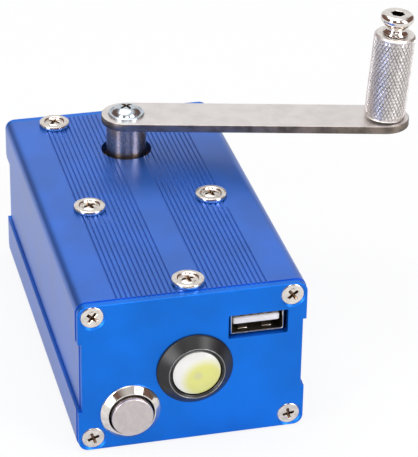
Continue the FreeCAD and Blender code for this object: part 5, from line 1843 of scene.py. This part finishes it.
@dataclass
class Socket:
    """Folded socket shell with flared lips and spring tongues, the white tongue, contacts."""

    wall: float = 0.3 * MM
    corner: float = 0.7 * MM
    flare: float = 0.3 * MM
    lip: float = 0.5 * MM
    tab_wide: float = 2.2 * MM
    tab_long: float = 5.0 * MM
    tab_bend: float = 0.55 * MM
    tab_thick: float = 0.2 * MM
    tab_start: float = 2.2 * MM
    tab_crest: float = 3.6 * MM
    tab_off_middle: float = 0.22
    tongue_round: float = 0.5 * MM

    def build(self) -> None:
        """Build and dress the socket."""
        self.build_shell()
        self.build_tongue()
        # The contacts take the dark recess finish: painted shade.
        piece = Bench.from_node("usb_contacts_finished", "usb_contacts")
        Bench.soften(piece, 0.06 * MM, 1)
        hand_over(piece, Body.CASE, RECESS_PAINTED_SHADE, "socket_nickel", "usb_contacts")

    def build_shell(self) -> None:
        """Fold the shell out of one block: round its long edges, open it and flare the mouth."""
        low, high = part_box("usb_shell")
        size = high - low
        piece = Bench.block("usb_shell_finished", (low + high) / 2, size)
        Bench.bevel(piece, self.corner, 5, lambda here, there: abs(here.y - there.y) > size.y / 2)
        Bench.pick(piece, Item.FACE, lambda face: abs(face.normal.y) > 0.9)
        with Bench.editing(piece, Item.FACE):
            bpy.ops.mesh.delete(type="FACE")
        self.flare_mouth(piece, low, high)
        Bench.apply(piece, "SOLIDIFY", thickness=self.wall, offset=-1.0, use_even_offset=True)
        tabs = [
            self.spring_tab(low, high, side, upper)
            for side in (-1, 1) for upper in (False, True)
        ]
        piece = Bench.joined("usb_shell_finished", [piece, *tabs])
        Bench.soften(piece, 0.05 * MM, 1, 40.0)
        mouth = low.y + self.lip
        # The mouth's lips and front faces stay bright nickel; every other face, the inside too,
        # takes the darker finish as painted shade.
        dress_apart(piece, SOCKET_INSIDE_PAINTED_SHADE, SOCKET_NICKEL, lambda face: (
            face.center.y < mouth or face.normal.y < -0.5
        ))
        hand_over(piece, Body.CASE, None, "socket_nickel", "usb_shell")

    def flare_mouth(self, piece: bpy.types.Object, low: Vector, high: Vector) -> None:
        """Bend the front rim of the shell outwards."""
        centre = (low + high) / 2
        with Bench.editing(piece):
            bpy.ops.mesh.select_all(action="SELECT")
            bpy.ops.mesh.bisect(plane_co=(0, low.y + self.lip, 0), plane_no=(0, 1, 0))
        Bench.pick(piece, Item.POINT, lambda point: point.co.y < low.y + TINY)
        wide = 1 + 2 * self.flare / (high.x - low.x)
        tall = 1 + self.flare / (high.z - low.z)
        with Bench.editing(piece):
            bpy.ops.transform.resize(value=(wide, 1, tall), center_override=centre)

    def spring_tab(
        self, low: Vector, high: Vector, side: int, upper: bool
    ) -> bpy.types.Object:
        """A spring tongue bent into the socket from its floor or its ceiling."""
        x = (low.x + high.x) / 2 + side * (high.x - low.x) * self.tab_off_middle
        half = self.tab_wide / 2
        start = low.y + self.tab_start
        crest = low.y + self.tab_crest
        back = start + self.tab_long
        way = -1 if upper else 1
        level = (high.z if upper else low.z) + way * self.wall
        run = [
            (start, way * self.tab_thick / 2), (low.y + 3.0 * MM, way * self.tab_bend * 0.8),
            (crest, way * self.tab_bend), (back, 0.0), (back, -way * self.tab_thick),
            (crest, way * (self.tab_bend - self.tab_thick)), (start, -way * self.tab_thick / 2),
        ]
        corners = [Vector((x - half, y, level + z)) for y, z in run]
        return Bench.pulled("spring_tab", corners, Vector((self.tab_wide, 0, 0)))

    def build_tongue(self) -> None:
        """White tongue with rounded long edges."""
        piece = Bench.from_node("usb_tongue_finished", "usb_tongue")
        low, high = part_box("usb_tongue")
        half = (high.y - low.y) / 2
        Bench.bevel(piece, self.tongue_round, 4, lambda here, there: abs(here.y - there.y) > half)
        Bench.soften(piece, 0.12 * MM)
        hand_over(piece, Body.CASE, WHITE_PLASTIC, "white_plastic", "usb_tongue")


# Works


@dataclass
class Works:
    """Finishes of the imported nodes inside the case, which keep their own shape."""

    finishes: dict[Finish, Sequence[str]] = field(default_factory=lambda: {
        MILLED: ("gearbox_top_plate", "gearbox_base_plate", "gearbox_pillars", "board_spacer"),
        ZINC: ("gearbox_base_screws", "generator_screws"),
        # Bush bronze, darkened as painted shade in the gap round the shaft.
        BRONZE_AND_PAINTED_SHADE: ("upper_shaft_bush", "lower_shaft_bush"),
        CUT_GEAR: ("crank_gear", "first_idler_gear", "second_idler_gear", "rotor_pinion"),
        TURNED: (
            "crank_gear_pin", "first_idler_axle", "second_idler_axle", "idler_clips",
            "rotor_upper_bearing", "rotor_lower_bearing", "rotor_shaft",
        ),
        CAN_STEEL: ("generator_can", "generator_end_cap"),
        LAMINATION: ("generator_stator",),
        COPPER: ("generator_coils",),
        MAGNET: ("rotor_magnet",),
        BOARD: ("circuit_board",),
        SLEEVE: ("storage_capacitor",),
        BLACK_PLASTIC: (
            "voltage_regulator", "rectifier_block", "power_inductor", "lamp_insulator",
            "button_contact_block",
        ),
        SOCKET_NICKEL: (
            "board_nut", "button_nut", "button_spring", "lamp_terminals", "button_terminals",
        ),
        BLACK_ALUMINIUM: ("lamp_nut",),
    })

    def build(self) -> None:
        """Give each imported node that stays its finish."""
        for finish, nodes in self.finishes.items():
            for node in nodes:
                finish.dress(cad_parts[node])
            LOG.info("%s: %s", finish.name, ", ".join(nodes))


# Studio


@dataclass(frozen=True)
class SoftBox:
    """A soft rectangular lamp, aimed at a point above the origin."""

    name: str
    place: tuple[float, float, float]
    size: tuple[float, float]
    power: float

    def hang(self, aim: float) -> None:
        """Hang the lamp and turn it towards a height on the origin's axis."""
        data = bpy.data.lights.new(self.name, "AREA")
        data.shape = "RECTANGLE"
        data.size, data.size_y = self.size
        data.energy = self.power
        lamp = bpy.data.objects.new(self.name, data)
        bpy.context.scene.collection.objects.link(lamp)
        lamp.location = self.place
        way = Vector((0, 0, aim)) - Vector(self.place)
        lamp.rotation_euler = way.to_track_quat("-Z", "Y").to_euler()


@dataclass
class Studio:
    """Pale floor, soft lamps, white background and the camera of the photograph."""

    azimuth: float = math.radians(-14.53)
    elevation: float = math.radians(29.42)
    roll: float = math.radians(1.02)
    distance: float = 569.5 * MM
    across: float = 15.23 * MM
    up: float = 8.19 * MM
    aim: float = 20.377 * MM
    lens: float = 182.02
    sensor: float = 36.0
    floor_half: float = 4.0
    floor_drop: float = 0.2 * MM
    floor_color: Color = (0.86, 0.86, 0.87)
    floor_white: float = 0.86
    floor_mirrored: float = 0.5
    mirror_tone: float = 0.7
    ambient: float = 0.5
    room: Color = (0.17, 0.10, 0.08)
    window: Color = (0.82, 0.82, 0.82)
    window_left: tuple[float, float] = (-0.5, -0.25)
    window_right: tuple[float, float] = (0.8, 1.1)
    window_near: tuple[float, float] = (0.0, 0.15)
    ceiling: tuple[float, float] = (0.6, 0.9)
    strip: Color = (2.8, 2.8, 2.9)
    strip_top: tuple[float, float] = (0.7, 0.8)
    left_strip: tuple[float, float] = (-1.04, 0.17)
    right_strip: tuple[float, float] = (0.72, 0.19)
    lamps: Sequence[SoftBox] = (
        SoftBox("left_strip", (-0.92, -0.6, 0.5), (0.2, 0.9), 3.4),
        SoftBox("right_box", (0.75, -0.85, 0.6), (0.45, 0.9), 6.0),
        SoftBox("overhead_box", (-0.15, 0.15, 1.3), (1.1, 1.1), 8.0),
        SoftBox("camera_box", (-0.1, -1.2, 0.9), (0.5, 0.3), 3.0),
    )

    def build(self) -> None:
        """Set the camera, the floor, the lamps and the world."""
        self.set_camera()
        self.lay_floor()
        for lamp in self.lamps:
            lamp.hang(self.aim)
        self.light_world()
        bpy.context.scene.view_settings.view_transform = "Standard"

    def set_camera(self) -> None:
        """Stand the camera where the photograph was taken from."""
        level = math.cos(self.elevation)
        back = Vector((
            math.sin(self.azimuth) * level, -math.cos(self.azimuth) * level,
            math.sin(self.elevation),
        ))
        right = Vector((0, 0, 1)).cross(back).normalized()
        top = back.cross(right)
        side = right * math.cos(self.roll) + top * math.sin(self.roll)
        head = top * math.cos(self.roll) - right * math.sin(self.roll)
        eye = back * self.distance + side * self.across + head * self.up
        data = bpy.data.cameras.new("camera")
        data.sensor_fit = "VERTICAL"
        data.sensor_height = self.sensor
        data.lens = self.lens
        data.clip_start = 0.01
        camera = bpy.data.objects.new("camera", data)
        bpy.context.scene.collection.objects.link(camera)
        matrix = Matrix((side, head, back)).transposed().to_4x4()
        matrix.translation = eye + Vector((0, 0, self.aim))
        camera.matrix_world = matrix
        bpy.context.scene.camera = camera

    def lay_floor(self) -> None:
        """A wide pale floor that shows white to the camera but keeps a faint shadow."""
        Bench.clear()
        bpy.ops.mesh.primitive_plane_add(
            size=2 * self.floor_half, location=(0, 0, -self.floor_drop)
        )
        floor = bpy.context.object
        floor.name = "floor"
        graph = Surface("pale_floor")
        graph.shade(Base_Color=self.floor_color, Roughness=0.8, Specular_IOR_Level=0.1)
        rays = graph.add("ShaderNodeLightPath")
        seen = Value(graph, rays.outputs["Is Camera Ray"])
        mirrored = Value(graph, rays.outputs["Is Glossy Ray"])
        tone = graph.mixed(seen, (self.mirror_tone,) * 3, WHITE)
        glow = graph.add("ShaderNodeEmission", {}, {"Color": tone, "Strength": 1.0})
        mix = graph.add("ShaderNodeMixShader", {}, {
            0: seen * self.floor_white + mirrored * self.floor_mirrored,
            1: graph.shader.outputs["BSDF"], 2: glow.outputs[0],
        })
        graph.feed(graph.output.inputs["Surface"], mix.outputs[0])
        floor.data.materials.append(graph.material)

    def light_world(self) -> None:
        """White to the camera; what metal mirrors has a bright window behind and a dim room."""
        world = bpy.data.worlds.new("world")
        bpy.context.scene.world = world
        world.use_nodes = True
        graph = Graph(world.node_tree)
        way = graph.add("ShaderNodeTexCoord").outputs["Generated"]
        side, along, up = graph.parts(way)
        rays = graph.add("ShaderNodeLightPath")
        camera = Value(graph, rays.outputs["Is Camera Ray"])
        glossy = Value(graph, rays.outputs["Is Glossy Ray"])
        clear = Value(graph, rays.outputs["Is Transmission Ray"])
        ahead = side / along.largest(0.05)
        sides = ahead.rise(*self.window_left) * (1.0 - ahead.rise(*self.window_right))
        window = sides * along.rise(*self.window_near)
        bearing = graph.math("ARCTAN2", side, 0.0 - along)
        strips = bearing.within(*self.left_strip).largest(bearing.within(*self.right_strip))
        room = graph.mixed(window.largest(up.rise(*self.ceiling)), self.room, self.window)
        room = graph.mixed(strips * (1.0 - up.rise(*self.strip_top)), room, self.strip)
        lit = graph.mixed(glossy.largest(clear), (self.ambient,) * 3, room)
        light = graph.add("ShaderNodeBackground", {}, {
            "Color": graph.mixed(camera, lit, WHITE), "Strength": 1.0,
        })
        graph.add("ShaderNodeOutputWorld", {}, {"Surface": light.outputs[0]})


def main() -> None:
    """Build the object's looks class by class, then the studio round it."""
    logging.basicConfig(level=logging.INFO, format="%(message)s")
    for part in (Case(), Screws(), Crank(), Lamp(), Button(), Socket(), Works(), Studio()):
        LOG.info("building %s", type(part).__name__)
        part.build()


if __name__ == "__main__":
    main()
